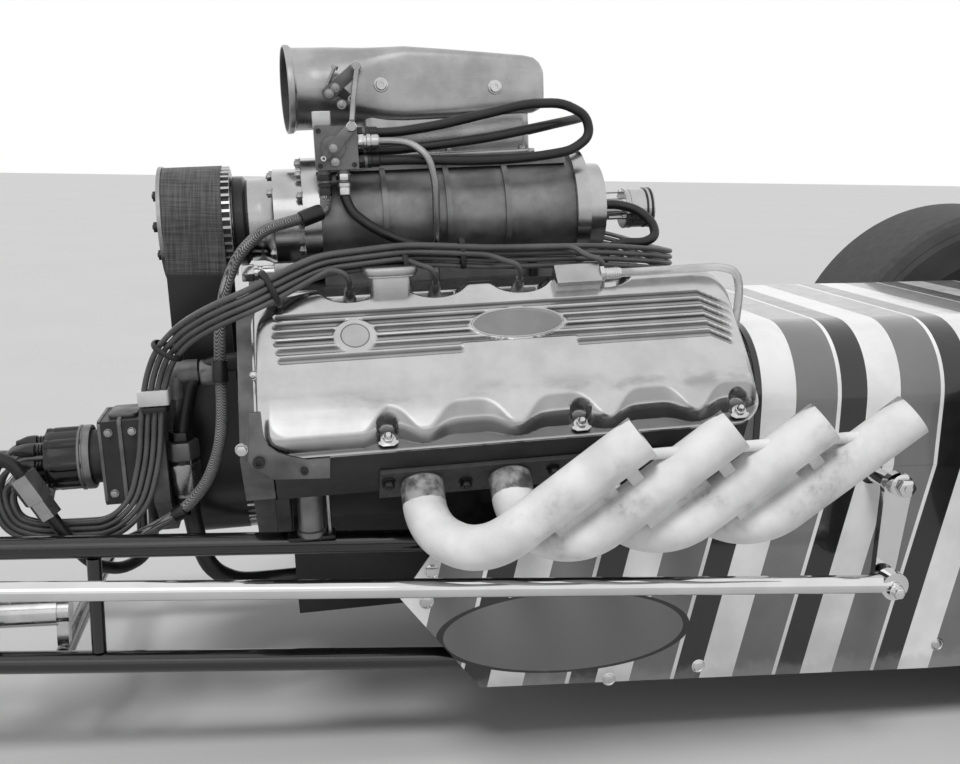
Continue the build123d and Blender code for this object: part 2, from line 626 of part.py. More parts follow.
def rotor_outline(x, radius, depth):
    """Add a slab with the supercharger's two-lobed outline to the open part."""
    with BuildSketch(engine(Plane.YZ.offset(x))) as lobes:
        with Locations((0, BLOWER_HEIGHT)):
            SlotCenterToCenter(ROTOR_SPREAD, 2 * radius)
    extrude(lobes.sketch, amount=depth)


CASE_RIBS = (-10, 83, 171)
with BuildPart() as blower_case:
    rotor_outline(CASE_FRONT, ROTOR_RADIUS, CASE_REAR - CASE_FRONT)
    for x in CASE_RIBS:
        rotor_outline(x - 4, ROTOR_RADIUS + 6, 8)
    case_top = BLOWER_HEIGHT + ROTOR_RADIUS
    case_foot = BLOWER_HEIGHT - ROTOR_RADIUS
    block_between((CASE_FRONT, -FLANGE_HALF, MANIFOLD_TOP), (CASE_REAR, FLANGE_HALF, case_foot + 12), ENGINE)
    block_between((CASE_FRONT + 10, -92, case_top - 8), (CASE_REAR - 8, 92, case_top + 6), ENGINE)
save(blower_case, "blower_case")

PLATE_FRONT = -170
SNOUT_FRONT = -211
SNOUT_DIAMETER = 122
with BuildPart() as blower_front:
    rotor_outline(-128, ROTOR_RADIUS + 12, CASE_FRONT - FIT + 128)
    rotor_outline(PLATE_FRONT, ROTOR_RADIUS - 4, -128 - PLATE_FRONT)
    bar(engine_point(SNOUT_FRONT, 0, BLOWER_HEIGHT), engine_point(PLATE_FRONT, 0, BLOWER_HEIGHT),
        SNOUT_DIAMETER)
save(blower_front, "blower_front_cover")

TACH_FRONT = 366
TACH_REAR = 412
with BuildPart() as blower_rear:
    rotor_outline(CASE_REAR + FIT, ROTOR_RADIUS + 10, 20)
    rotor_outline(CASE_REAR + 20, ROTOR_RADIUS - 12, 30)
    bar(engine_point(CASE_REAR + 45, -50, BLOWER_HEIGHT - 5),
        engine_point(TACH_FRONT + 5, -50, BLOWER_HEIGHT - 5), 34)
    bar(engine_point(TACH_FRONT, -50, BLOWER_HEIGHT - 5), engine_point(TACH_REAR, -50, BLOWER_HEIGHT - 5), 60)
save(blower_rear, "blower_rear_cover")

BELT_FRONT = -331
BELT_REAR = -245
BELT_THICKNESS = 5
BELT_RADIUS = 84
PULLEY_FRONT = -337
PULLEY_REAR = -233
PULLEY_RADIUS = BELT_RADIUS - BELT_THICKNESS
with BuildPart() as pulleys:
    for height, hub_back in ((BLOWER_HEIGHT, SNOUT_FRONT), (0, TIMING_FRONT)):
        bar(engine_point(BELT_FRONT - FIT, 0, height), engine_point(PULLEY_REAR, 0, height),
            2 * (PULLEY_RADIUS - FIT))
        bar(engine_point(PULLEY_FRONT, 0, height), engine_point(BELT_FRONT - FIT, 0, height),
            2 * BELT_RADIUS + 4)
        if hub_back > PULLEY_REAR + FIT:
            bar(engine_point(PULLEY_REAR, 0, height), engine_point(hub_back - FIT, 0, height),
                2 * PULLEY_RADIUS - 50)
save(pulleys, "drive_pulleys")
with BuildPart() as belt:
    with BuildSketch(engine(Plane.YZ.offset(BELT_FRONT))) as belt_loop:
        with Locations((0, BLOWER_HEIGHT / 2)):
            SlotCenterToCenter(BLOWER_HEIGHT, 2 * BELT_RADIUS, rotation=90)
            SlotCenterToCenter(BLOWER_HEIGHT, 2 * PULLEY_RADIUS, rotation=90, mode=Mode.SUBTRACT)
    extrude(amount=BELT_REAR - BELT_FRONT)
save(belt, "blower_belt")

# Injector hat: a round mouth that runs into a box with a rounded roof
HAT_MOUTH = -143
HAT_CENTRE = 595.5
MOUTH_RADIUS = 65
TUBE_RADIUS = 60
HAT_WALL = 4
HAT_HALF = 62
HAT_FOOT = case_top + 6 + FIT
HAT_PROFILE = [(-65, 650), (35, 652), (220, 634), (246, 606), (246, 566), (228, 548), (-65, 540)]
with BuildPart() as hat:
    prism(engine(Plane.XZ), HAT_PROFILE, HAT_HALF, both=True)
    long_edges = hat.edges().filter_by(lambda edge: abs(edge.tangent_at(0).Y) < 0.1 and edge.length > 90)
    fillet(long_edges, 18)
    bar(engine_point(HAT_MOUTH, 0, HAT_CENTRE), engine_point(HAT_MOUTH + 12, 0, HAT_CENTRE), 2 * MOUTH_RADIUS)
    bar(engine_point(HAT_MOUTH + 12, 0, HAT_CENTRE), engine_point(-60, 0, HAT_CENTRE), 2 * TUBE_RADIUS)
    block_between((-30, -52, HAT_FOOT), (222, 52, 560), ENGINE)
    block_between((-95, -140, 538 + FIT), (-58, -30, 550), ENGINE)
    inner = [(-60, 640), (35, 646), (218, 628), (238, 604), (238, 568), (226, 556), (-60, 556)]
    with BuildSketch(engine(Plane.XZ)) as cavity:
        with BuildLine():
            Polyline(*inner, close=True)
        make_face()
    extrude(amount=HAT_HALF - 14, both=True, mode=Mode.SUBTRACT)
    with BuildSketch(engine(Plane.YZ.offset(HAT_MOUTH))) as throat:
        with Locations((0, HAT_CENTRE)):
            Circle(TUBE_RADIUS - HAT_WALL)
    extrude(amount=86, mode=Mode.SUBTRACT)
save(hat, "injector_hat")

VALVE_FRONT = -106
VALVE_REAR = -46
VALVE_OUT = -148
VALVE_IN = -104
VALVE_LOW = 478
VALVE_TOP = 538
FITTING_DIAMETER = 18
FITTING_REACH = 18
VALVE_FEEDS = ((-95, -134), (-68, -134))
VALVE_OUTLETS = ((-115, 527), (-115, 502), (-138, 515), (-138, 488))
with BuildPart() as barrel_valve:
    block_between((VALVE_FRONT, VALVE_OUT, VALVE_LOW), (VALVE_REAR, VALVE_IN, VALVE_TOP), ENGINE)
    for x, y in VALVE_FEEDS:
        bar(engine_point(x, y, VALVE_LOW - FITTING_REACH), engine_point(x, y, VALVE_LOW), FITTING_DIAMETER)
    for y, z in VALVE_OUTLETS:
        bar(engine_point(VALVE_REAR, y, z), engine_point(VALVE_REAR + FITTING_REACH, y, z), FITTING_DIAMETER)
save(barrel_valve, "barrel_valve")

# Exhaust: four open tubes on each side, on one flange and tied near their ends
HEADER_DIAMETER = 57
HEADER_BORE = 52
HEADER_FLANGE = 6
PORT_S = HEAD_OUTER + FIT
PORT_T = DECK + 44
HEADER_RADIUS = 84
HEADER_STEPS = ((60, 70, -14), (195, 28, 146))
TAB_BACK = 70


def header_points(side, port):
    """The centre line of one exhaust tube."""
    x = port * PORT_PITCH
    y, z = bank(side, PORT_S + HEADER_FLANGE / 2, PORT_T)
    points = [(x, y, z), (x, y + side * 52, z - 52)]
    for dx, out, dz in HEADER_STEPS:
        x0, y0, z0 = points[-1]
        points.append((x0 + dx, y0 + side * out, z0 + dz))
    return [engine_point(*point) for point in points]


for side, side_name in SIDES:
    with BuildPart() as headers:
        flange_points = [bank(side, PORT_S, PORT_T - 36), bank(side, PORT_S, PORT_T + 32),
                         bank(side, PORT_S + HEADER_FLANGE, PORT_T + 32),
                         bank(side, PORT_S + HEADER_FLANGE, PORT_T - 36)]
        prism(engine(Plane.YZ.offset(-55)), flange_points, PORT_PITCH * (PORTS - 1) + 110)
        routes = [header_points(side, port) for port in range(PORTS)]
        for route in routes:
            bent_tube(route, HEADER_DIAMETER, HEADER_RADIUS, HEADER_BORE)
        for route, next_route in zip(routes, routes[1:]):
            back = (route[-1] - route[-2]).normalized() * TAB_BACK
            across = (next_route[-1] - route[-1]).normalized() * (HEADER_DIAMETER / 2 - 1)
            lift = (next_route[-1] - route[-1]) * 0.62
            start = route[-1] - back * 0.6 + across
            bar(start, start + lift - across * 0.2, 14)
    save(headers, f"exhaust_headers_{side_name}")

# Flywheel housing and drive to the rear axle, engine plates and mounts
PLATE_THICKNESS = 6
BELL_FRONT = BLOCK_REAR + PLATE_THICKNESS + 2 * FIT
BELL_REAR = BELL_FRONT + 150
COUPLER_LENGTH = 40
COUPLER_DIAMETER = 110
DRIVE_DIAMETER = 88
MOUNT_LENGTH = 44
MOUNT_DEPTH = 28
with BuildPart() as engine_plates:
    inner = HIP_HALF - RAIL_DIAMETER / 2 - FIT
    plate_half = [(inner, -215), (inner, -60), (150, 60), (60, 130)]
    prism(engine(Plane.YZ.offset(BLOCK_REAR + FIT)), mirrored(plate_half), PLATE_THICKNESS)
    for side, side_name in SIDES:
        for x in (-150, 330):
            place = engine_point(x, 0, 0)
            rail, rail_run = rail_spot("upper", side, place.X)
            slant = MOUNT_LENGTH / 2 * abs(rail_run.Y / rail_run.X)
            rail_inner = abs(rail.Y) - RAIL_DIAMETER / 2 - FIT - slant
            low = rail.Z - MOUNT_DEPTH / 2
            block_between(
                (place.X - MOUNT_LENGTH / 2, side * (BLOCK_HALF + 2 * FIT), low),
                (place.X + MOUNT_LENGTH / 2, side * rail_inner, low + MOUNT_DEPTH),
            )
save(engine_plates, "engine_plate_and_mounts")
with BuildPart() as bellhousing:
    with BuildSketch(engine(Plane.YZ.offset(BELL_FRONT))) as bell_mouth:
        Circle(175)
    with BuildSketch(engine(Plane.YZ.offset(BELL_REAR))) as bell_neck:
        Circle(95)
    loft()
    coupler_end = engine_point(BELL_REAR + COUPLER_LENGTH, 0, 0)
    bar(engine_point(BELL_REAR + FIT, 0, 0), coupler_end, COUPLER_DIAMETER)
    pinion_face = Vector(REAR_AXLE_X - PINION_REACH - FIT, 0, REAR_AXLE_HEIGHT)
    pinion_coupler = pinion_face - Vector(COUPLER_LENGTH, 0, 0)
    bar(pinion_coupler, pinion_face, COUPLER_DIAMETER)
    drive_run = (pinion_coupler - coupler_end).normalized() * (COUPLER_LENGTH / 2)
    bar(coupler_end - drive_run, pinion_coupler + drive_run, DRIVE_DIAMETER)
save(bellhousing, "bellhousing_and_driveline")

# Body: flat side panels, belly pan, cowl over the driver's legs and a hollow tail
SKIN = 2
BODY_HALF = 300
BODY_LOW = 111
BODY_FRONT_LOW = 127
SEAM = 440
COWL_FRONT_X = ENGINE_X + 478
COWL_REAR_X = REAR_AXLE_X + 415
PANEL_LOW_X = ENGINE_X + 89
PANEL_NOSE_X = ENGINE_X - 27
PANEL_TOP_X = ENGINE_X + 24
PANEL_TOP = 346
PITMAN_X = ENGINE_X + 666
PITMAN_HEIGHT = 432
PITMAN_HALF = 372
PITMAN_SHAFT = 24
SHAFT_ROOM = 6
TAB_PLACES = (ENGINE_X + 150, ENGINE_X + 700, REAR_AXLE_X - 330, REAR_AXLE_X + 360)
for side, side_name in SIDES:
    with BuildPart() as body_side:
        outline = [
            (PANEL_LOW_X, BODY_FRONT_LOW), (PANEL_NOSE_X, 270), (PANEL_TOP_X, PANEL_TOP),
            (COWL_FRONT_X - 12, PANEL_TOP),
            (COWL_FRONT_X, SEAM - FIT), (COWL_REAR_X, SEAM - FIT), (COWL_REAR_X, BODY_LOW),
            (ENGINE_X + 799, BODY_LOW),
        ]
        prism(Plane.XZ.offset(-side * BODY_HALF), outline, -side * SKIN)
        for x in TAB_PLACES:
            for which in ("upper", "lower"):
                rail, rail_run = rail_spot(which, side, x)
                bar(rail + Vector(0, side * (RAIL_DIAMETER / 2 + 2 * FIT), 0),
                    (x, side * (BODY_HALF - FIT), rail.Z), 14)
        with BuildSketch(Plane.XZ.offset(-side * (BODY_HALF - 5))) as holes:
            with Locations((REAR_AXLE_X, REAR_AXLE_HEIGHT)):
                Circle(HOUSING_TUBE / 2 + 6)
            if side == LEFT:
                with Locations((PITMAN_X, PITMAN_HEIGHT)):
                    Circle(PITMAN_SHAFT / 2 + SHAFT_ROOM)
        extrude(amount=-side * 15, mode=Mode.SUBTRACT)
    save(body_side, f"body_side_{side_name}")
with BuildPart() as belly_pan:
    pan_line = [(PANEL_LOW_X + 10, BODY_FRONT_LOW), (ENGINE_X + 799, BODY_LOW), (COWL_REAR_X, BODY_LOW),
                (COWL_REAR_X, BODY_LOW + SKIN), (ENGINE_X + 799, BODY_LOW + SKIN),
                (PANEL_LOW_X + 10, BODY_FRONT_LOW + SKIN)]
    prism(Plane.XZ, pan_line, BODY_HALF - FIT, both=True)
save(belly_pan, "belly_pan")


def hoop_section(x, half, low, crown, corner):
    """The thin bent outline of the cowl: straight sides, round shoulders and a flat top."""
    with BuildSketch(Plane.YZ.offset(x)) as section:
        with BuildLine():
            for inset in (0, SKIN):
                w, c, r = half - inset, crown - inset, corner - inset
                Line((-w, low), (-w, c - r))
                ThreePointArc((-w, c - r), (-w + r * (1 - sqrt(0.5)), c - r * (1 - sqrt(0.5))), (-w + r, c))
                Line((-w + r, c), (w - r, c))
                ThreePointArc((w - r, c), (w - r * (1 - sqrt(0.5)), c - r * (1 - sqrt(0.5))), (w, c - r))
                Line((w, c - r), (w, low))
            Line((-half, low), (-half + SKIN, low))
            Line((half, low), (half - SKIN, low))
        make_face()
    return section.sketch


COWL_CORNER = 112
COWL_FRONT_CROWN = 641
COWL_REAR_CROWN = 668
COCKPIT_FRONT_X = REAR_AXLE_X - 105
COCKPIT_HALF = 232
COCKPIT_SILL = 560
FIREWALL_X = COWL_FRONT_X + 12
FIREWALL_HOLE = 182
with BuildPart() as cowl:
    front_hoop = hoop_section(COWL_FRONT_X, BODY_HALF + SKIN, SEAM, COWL_FRONT_CROWN, COWL_CORNER)
    rear_hoop = hoop_section(COWL_REAR_X, BODY_HALF + SKIN, SEAM, COWL_REAR_CROWN, COWL_CORNER)
    loft([front_hoop, rear_hoop])
    block_between((COCKPIT_FRONT_X, -COCKPIT_HALF, COCKPIT_SILL), (COWL_REAR_X + 1, COCKPIT_HALF, 800),
                  mode=Mode.SUBTRACT)
    crown = COWL_FRONT_CROWN - SKIN / 2
    crank_height = engine_point(FIREWALL_X - ENGINE_X, 0, 0).Z
    with BuildSketch(Plane.YZ.offset(FIREWALL_X)) as firewall:
        with Locations((0, crown - 150)):
            RectangleRounded(2 * BODY_HALF + SKIN, 300, COWL_CORNER - SKIN / 2)
        with Locations((0, (SEAM + crown - 150) / 2)):
            Rectangle(2 * BODY_HALF + SKIN, crown - 150 - SEAM)
        with Locations((0, SEAM - 150)):
            Rectangle(800, 300, mode=Mode.SUBTRACT)
        with Locations((0, crank_height)):
            Circle(FIREWALL_HOLE, mode=Mode.SUBTRACT)
    extrude(amount=SKIN)
    with BuildSketch(Plane.XZ.offset(BODY_HALF - 5)) as shaft_hole:
        with Locations((PITMAN_X, PITMAN_HEIGHT)):
            Circle(PITMAN_SHAFT / 2 + SHAFT_ROOM)
    extrude(amount=15, mode=Mode.SUBTRACT)
save(cowl, "cowl")

TAIL_REAR_X = REAR_AXLE_X + 800
with BuildPart() as tail:
    tail_low = BODY_LOW
    for inset, mode, stop in ((0, Mode.ADD, 0), (SKIN, Mode.SUBTRACT, SKIN)):
        with BuildSketch(Plane.YZ.offset(COWL_REAR_X + FIT - (1 if inset else 0))) as tail_front:
            with Locations((0, (tail_low + COWL_REAR_CROWN) / 2)):
                RectangleRounded(2 * (BODY_HALF + SKIN - inset), COWL_REAR_CROWN - tail_low - 2 * inset,
                                 100 - inset)
        with BuildSketch(Plane.YZ.offset(TAIL_REAR_X - stop)) as tail_rear:
            with Locations((0, 430)):
                RectangleRounded(260 - 2 * inset, 220 - 2 * inset, 60 - inset)
        loft([tail_front.sketch, tail_rear.sketch], mode=mode)
save(tail, "tail_fairing")

# Parachute pack on the tail, with the anchor eye that the shroud line pins to
PACK_REAR_X = REAR_AXLE_X + TAIL_REACH
with BuildPart() as pack:
    block_between((TAIL_REAR_X + FIT, -95, 340), (PACK_REAR_X, 95, 520))
    fillet(pack.edges().filter_by(Axis.X), 20)
    block_between((TAIL_REAR_X + FIT, -TIE_EYE_THICKNESS / 2, 290),
                  (TAIL_REAR_X + 50, TIE_EYE_THICKNESS / 2, 340 - FIT))
    block_between((TAIL_REAR_X + FIT, -40, 322), (TAIL_REAR_X + 8, 40, 340 - FIT))
    with BuildSketch(Plane(origin=(TAIL_REAR_X + 27, -TIE_EYE_THICKNESS / 2, 312),
                           z_dir=(0, 1, 0))) as anchor_bore:
        Circle(9)
    extrude(amount=TIE_EYE_THICKNESS, mode=Mode.SUBTRACT)
save(pack, "parachute_pack")

# Driver's place: bucket seat, roll cage and steering
SEAT_FRONT_X = REAR_AXLE_X + 150
SEAT_BACK_X = REAR_AXLE_X + 325
SEAT_HALF = 200
SEAT_WALL = 6
with BuildPart() as seat:
    block_between((SEAT_FRONT_X, -SEAT_HALF, 165), (SEAT_BACK_X, SEAT_HALF, 620))
    cut = [(SEAT_FRONT_X - 5, 230), (SEAT_BACK_X - 60, 200), (SEAT_BACK_X - 20, 640), (SEAT_FRONT_X - 5, 640)]
    with BuildSketch(Plane.XZ) as bucket:
        with BuildLine():
            Polyline(*cut, close=True)
        make_face()
    extrude(amount=SEAT_HALF - SEAT_WALL, both=True, mode=Mode.SUBTRACT)
    side_cut = [(SEAT_FRONT_X - 5, 320), (SEAT_BACK_X - 90, 420), (SEAT_BACK_X - 30, 640),
                (SEAT_FRONT_X - 5, 640)]
    with BuildSketch(Plane.XZ) as arm_room:
        with BuildLine():
            Polyline(*side_cut, close=True)
        make_face()
    extrude(amount=SEAT_HALF + 1, both=True, mode=Mode.SUBTRACT)
    block_between((SEAT_FRONT_X + 20, -60, BODY_LOW + SKIN + FIT), (SEAT_FRONT_X + 50, 60, 180))
    block_between((SEAT_BACK_X - 110, -60, BODY_LOW + SKIN + FIT), (SEAT_BACK_X - 80, 60, 180))
save(seat, "seat")

CAGE_X = REAR_AXLE_X + 352
CAGE_TOP = 1080
CAGE_DIAMETER = 38
CAGE_BRACE_DIAMETER = 30
BRACE_FOOT_X = COCKPIT_FRONT_X + 40
with BuildPart() as roll_cage:
    rail, rail_run = rail_spot("upper", LEFT, CAGE_X)
    cage_foot = rail.Z + RAIL_DIAMETER / 2 + 2 * FIT
    half_hoop = [(CAGE_X, HIP_HALF, cage_foot), (CAGE_X, HIP_HALF, 430), (CAGE_X, 212, 575),
                 (CAGE_X, 150, CAGE_TOP)]
    hoop = [(x, -y, z) for x, y, z in half_hoop] + half_hoop[::-1]
    bent_tube(hoop, CAGE_DIAMETER, [180, 260, 125, 125, 260, 180])
    for side, side_name in SIDES:
        rail, rail_run = rail_spot("upper", side, BRACE_FOOT_X)
        brace_foot = (BRACE_FOOT_X, side * HIP_HALF, rail.Z + RAIL_DIAMETER / 2 + 2 * FIT)
        knee = (BRACE_FOOT_X, side * HIP_HALF, 420)
        bend = (BRACE_FOOT_X + 30, side * 208, 620)
        bent_tube([brace_foot, knee, bend, (CAGE_X, side * 166, 950)], CAGE_BRACE_DIAMETER, [120, 160])
save(roll_cage, "roll_cage")

WHEEL_TILT = 15
WHEEL_AXIS = Vector(cos(radians(WHEEL_TILT)), 0, sin(radians(WHEEL_TILT)))
WHEEL_HUB = Vector(REAR_AXLE_X + 40, 0, 655)
COLUMN_DIAMETER = 20
BEARING_END = 50
with BuildPart() as steering_gear:
    block_between((PITMAN_X - 45, -290, 385), (PITMAN_X + 45, -215, 475))
    rail, rail_run = rail_spot("upper", LEFT, PITMAN_X)
    block_between((PITMAN_X - 30, -278, rail.Z + RAIL_DIAMETER / 2 + FIT), (PITMAN_X + 30, -246, 390))
    gear_out = Vector(PITMAN_X + 40, -250, 455)
    bearing = WHEEL_HUB - WHEEL_AXIS * 110
    bar(gear_out, bearing, COLUMN_DIAMETER)
    bar(bearing - WHEEL_AXIS * 20, WHEEL_HUB - WHEEL_AXIS * BEARING_END, 50)
    dash_x = bearing.X + 2
    bar((dash_x, -185, bearing.Z - 6), (dash_x, 185, bearing.Z - 6), 22)
    with BuildSketch(Plane(origin=(PITMAN_X, -291, PITMAN_HEIGHT), z_dir=(0, 1, 0))) as gear_bore:
        Circle(PITMAN_SHAFT / 2 + FIT)
    extrude(amount=60, mode=Mode.SUBTRACT)
save(steering_gear, "steering_gear")

STEERING_WHEEL_RADIUS = 115
with BuildPart() as steering_wheel:
    grip_centre = WHEEL_HUB + Vector(0, STEERING_WHEEL_RADIUS, 0)
    with BuildSketch(Plane(origin=grip_centre, x_dir=(0, 1, 0),
                           z_dir=WHEEL_AXIS.cross(Vector(0, 1, 0)))) as grip:
        Circle(10)
    revolve(axis=Axis(WHEEL_HUB, WHEEL_AXIS))
    bar(WHEEL_HUB - Vector(0, STEERING_WHEEL_RADIUS, 0), WHEEL_HUB + Vector(0, STEERING_WHEEL_RADIUS, 0), 14)
    bar(WHEEL_HUB - WHEEL_AXIS * (BEARING_END - FIT), WHEEL_HUB + WHEEL_AXIS * 12, 36)
save(steering_wheel, "steering_wheel")

# Pitman arm and drag link on the left of the car
LINK_DIAMETER = 25.4
LINK_REAR_X = ENGINE_X + 657
LINK_REAR_HEIGHT = 297
LINK_HALF = 398
PITMAN_PIN = 14
with BuildPart() as pitman_arm:
    pivot = Vector(PITMAN_X, -PITMAN_HALF, PITMAN_HEIGHT)
    lower = Vector(LINK_REAR_X, -PITMAN_HALF, LINK_REAR_HEIGHT)
    arm_plane = Plane(origin=pivot + Vector(0, 6, 0), x_dir=lower - pivot, z_dir=(0, -1, 0))
    reach = (lower - pivot).length
    with BuildSketch(arm_plane) as arm_outline:
        Circle(22)
        with Locations((reach, 0)):
            Circle(16)
        with BuildLine():
            Polyline((0, 21), (reach, 15), (reach, -15), (0, -21), close=True)
        make_face()
    extrude(amount=12)
    bar((PITMAN_X, -PITMAN_HALF - 14, PITMAN_HEIGHT), (PITMAN_X, -235, PITMAN_HEIGHT), PITMAN_SHAFT)
    bar(lower + Vector(0, 2, 0), (LINK_REAR_X, -LINK_HALF - 16, LINK_REAR_HEIGHT), PITMAN_PIN)
save(pitman_arm, "pitman_arm")
LINK_OPEN_PIVOT = 6
with BuildPart() as drag_link:
    link_rear = Vector(LINK_REAR_X, -LINK_HALF, LINK_REAR_HEIGHT)
    link_front = Vector(FRONT_AXLE_X, -(KINGPIN_HALF - STEERING_ARM), LINK_FRONT_HEIGHT)
    bar(link_front, link_rear, LINK_DIAMETER)
    bar(link_rear - Vector(0, 11, 0), link_rear + Vector(0, 11, 0), 40)
    bar(link_front - Vector(0, 0, 13), link_front + Vector(0, 0, 13), 44)
    with BuildSketch(Plane(origin=link_rear - Vector(0, 14, 0), z_dir=(0, 1, 0))) as rear_eye:
        Circle(PITMAN_PIN / 2 + FIT)
    extrude(amount=28, mode=Mode.SUBTRACT)
    with BuildSketch(Plane(origin=link_front - Vector(0, 0, 16), z_dir=(0, 0, 1))) as front_eye:
        Circle(BALL_PIN / 2 + LINK_OPEN_PIVOT)
    extrude(amount=32, mode=Mode.SUBTRACT)
save(drag_link, "drag_link")

# Fuel tank between the rails ahead of the engine
TANK_START_X = NOSE_X + 1080
TANK_LENGTH = 480
TANK_DIAMETER = 190
TANK_HEIGHT = 300
with BuildPart() as fuel_tank:
    bar((TANK_START_X, 0, TANK_HEIGHT), (TANK_START_X + TANK_LENGTH, 0, TANK_HEIGHT), TANK_DIAMETER)
    fillet(fuel_tank.edges(), 20)
    for x in (TANK_START_X + 90, TANK_START_X + TANK_LENGTH - 90):
        rail, rail_run = rail_spot("upper", RIGHT, x)
        reach = rail.Y - RAIL_DIAMETER / 2 - 1
        bar((x, -reach, rail.Z), (x, reach, rail.Z), 20)
    bar((TANK_START_X + 240, 0, TANK_HEIGHT + 80), (TANK_START_X + 240, 0, TANK_HEIGHT + 125), 60)
save(fuel_tank, "fuel_tank")

# Accessory drive ahead of the crank pulley, with the magneto and the fuel pump
STAND_FRONT = -368
STAND_REAR = PULLEY_FRONT - 8
with BuildPart() as stand:
    stand_outline = [(-176, 20), (-176, 130), (-120, 160), (110, 160), (150, 60), (110, -40), (-120, -40)]
    prism(engine(Plane.YZ.offset(STAND_FRONT)), stand_outline, STAND_REAR - STAND_FRONT)
    bar(engine_point(PULLEY_FRONT - FIT, 0, 0), engine_point(STAND_REAR - 2, 0, 0), 60)
    bar(engine_point(-430, 20, 60), engine_point(STAND_FRONT + 1, 20, 60), 110)
    bar(engine_point(-455, 20, 60), engine_point(-429, 20, 60), 70)
save(stand, "accessory_drive")
MAGNETO_Y = -150
MAGNETO_Z = 90
with BuildPart() as magneto:
    block_between((-430, MAGNETO_Y - 45, MAGNETO_Z - 60),
                  (STAND_FRONT - FIT, MAGNETO_Y + 45, MAGNETO_Z + 60), ENGINE)
    bar(engine_point(-448, MAGNETO_Y, MAGNETO_Z), engine_point(-430, MAGNETO_Y, MAGNETO_Z), 76)
    bar(engine_point(-508, MAGNETO_Y, MAGNETO_Z), engine_point(-448, MAGNETO_Y, MAGNETO_Z), 84)
save(magneto, "magneto")

# Rubber hoses and lines round the engine, in the engine's directions
FUEL_HOSE = 14
HARD_LINE = 11
BRAID_DIAMETER = 16
OIL_LINE = 26
FEED_HOSE = 18
VENT_HOSE = 12
FITTING_END = VALVE_REAR + FITTING_REACH + FIT
FEED_END = VALVE_LOW - FITTING_REACH - FIT
LEDGE = 311.6
FUEL_ROUTES = (
    ((FITTING_END, -115, 527), (12, -115, 527), (70, -121, 534), (140, -127, 548), (205, -126, 561),
     (258, -123, 560),
     (292, -122, 541), (297, -124, 512), (268, -131, 492), (214, -137, 485), (150, -139, 482),
     (86, -139, 484),
     (28, -138, 488), (FITTING_END, -138, 488)),
    ((FITTING_END, -115, 502), (10, -115, 502), (70, -118, 507), (150, -119, 515), (222, -112, 527),
     (280, -86, 536),
     (313, -36, 541), (318, 24, 540), (300, 78, 534), (256, 108, 524), (200, 118, 514), (148, 114, 505),
     (110, 100, 500),
     (97, 80, 498), (97, 52 + FIT, 498)),
    ((-68, -134, FEED_END), (-68, -134, 440), (-60, -142, 418), (-34, -154, 396), (4, -161, 376),
     (52, -165, 360),
     (102, -165, 348), (148, -162, 342), (180, -154, 345), (196, -142, 345), (204, -136, 332),
     (204, -136, LEDGE)),
    ((324 + FIT, -88, 408), (346, -88, 408), (376, -98, 400), (396, -114, 380), (396, -130, 360),
     (374, -138, 352),
     (344, -138, 354), (322, -136, 348), (312, -136, 332), (312, -136, LEDGE)),
)
OIL_START = TIMING_FRONT - FIT
OIL_ROUTE = (
    (OIL_START, -152, 214), (-266, -152, 214), (-304, -151, 196), (-320, -150, 134), (-323, -150, 118),
    (-323, -150, 16),
    (-321.5, -150, 0), (-317, -149, -44), (-304, -141, -100), (-268, -112, -136), (-226, -80, -150),
    (BLOCK_FRONT + 12 - FIT, -80, -150),
)
TANK_END_X = TANK_START_X + TANK_LENGTH
FEED_STRAIGHT = ((144, -203, 455), (219, -196, 323))
FEED_ROUTE = (
    (TANK_END_X + FIT, -60, 290), (TANK_END_X + 45, -60, 290), (-700, -104, 300), (-420, -150, 376),
    (-120, -172, 402),
    (60, -194, 446), (112, -203, 466), *FEED_STRAIGHT, (240, -180, 292), (268, -140, 268), (292, -86, 262),
    (300, -30, 268), (300, 10, 286), (297.8, 20, 318.1), (295.3, 20, 362.4),
)
with BuildPart() as engine_hoses:
    for route in FUEL_ROUTES:
        hose(route, FUEL_HOSE)
    hose(OIL_ROUTE, OIL_LINE)
    bent_tube(FEED_ROUTE, FEED_HOSE, easy_radii(FEED_ROUTE))
save(engine_hoses, "engine_hoses")

# Bent metal line from the valve to the manifold, and the couplings round the hoses
HARD_ROUTE = (
    (FITTING_END, -138, 515), (2, -138, 515), (30, -146, 511), (52, -158, 492), (60, -160, 456),
    (60, -153, 412),
    (60, -146, 374), (58, -136, 342), (58, -136, LEDGE),
)
OIL_COUPLINGS = ((58, 104, 36), (22, 55, 33))
FEED_COUPLINGS = ((22, 64, 36), (65, 92, 29))
with BuildPart() as hard_lines:
    hose(HARD_ROUTE, HARD_LINE)
    for low, high, width in OIL_COUPLINGS:
        with BuildSketch(engine(Plane(origin=(-323, -150, low)))) as oil_nut:
            RegularPolygon(width / 2, 6, major_radius=False)
            Circle(OIL_LINE / 2 + FIT, mode=Mode.SUBTRACT)
        extrude(amount=high - low)
    feed_start, feed_end = (Vector(place) for place in FEED_STRAIGHT)
    feed_run = (feed_end - feed_start).normalized()
    for low, high, width in FEED_COUPLINGS:
        with BuildSketch(Plane(origin=feed_start + feed_run * low, z_dir=feed_run)) as feed_nut:
            RegularPolygon(width / 2, 6, major_radius=False)
            Circle(FEED_HOSE / 2 + FIT, mode=Mode.SUBTRACT)
        extrude(amount=high - low)
save(hard_lines, "hard_lines")

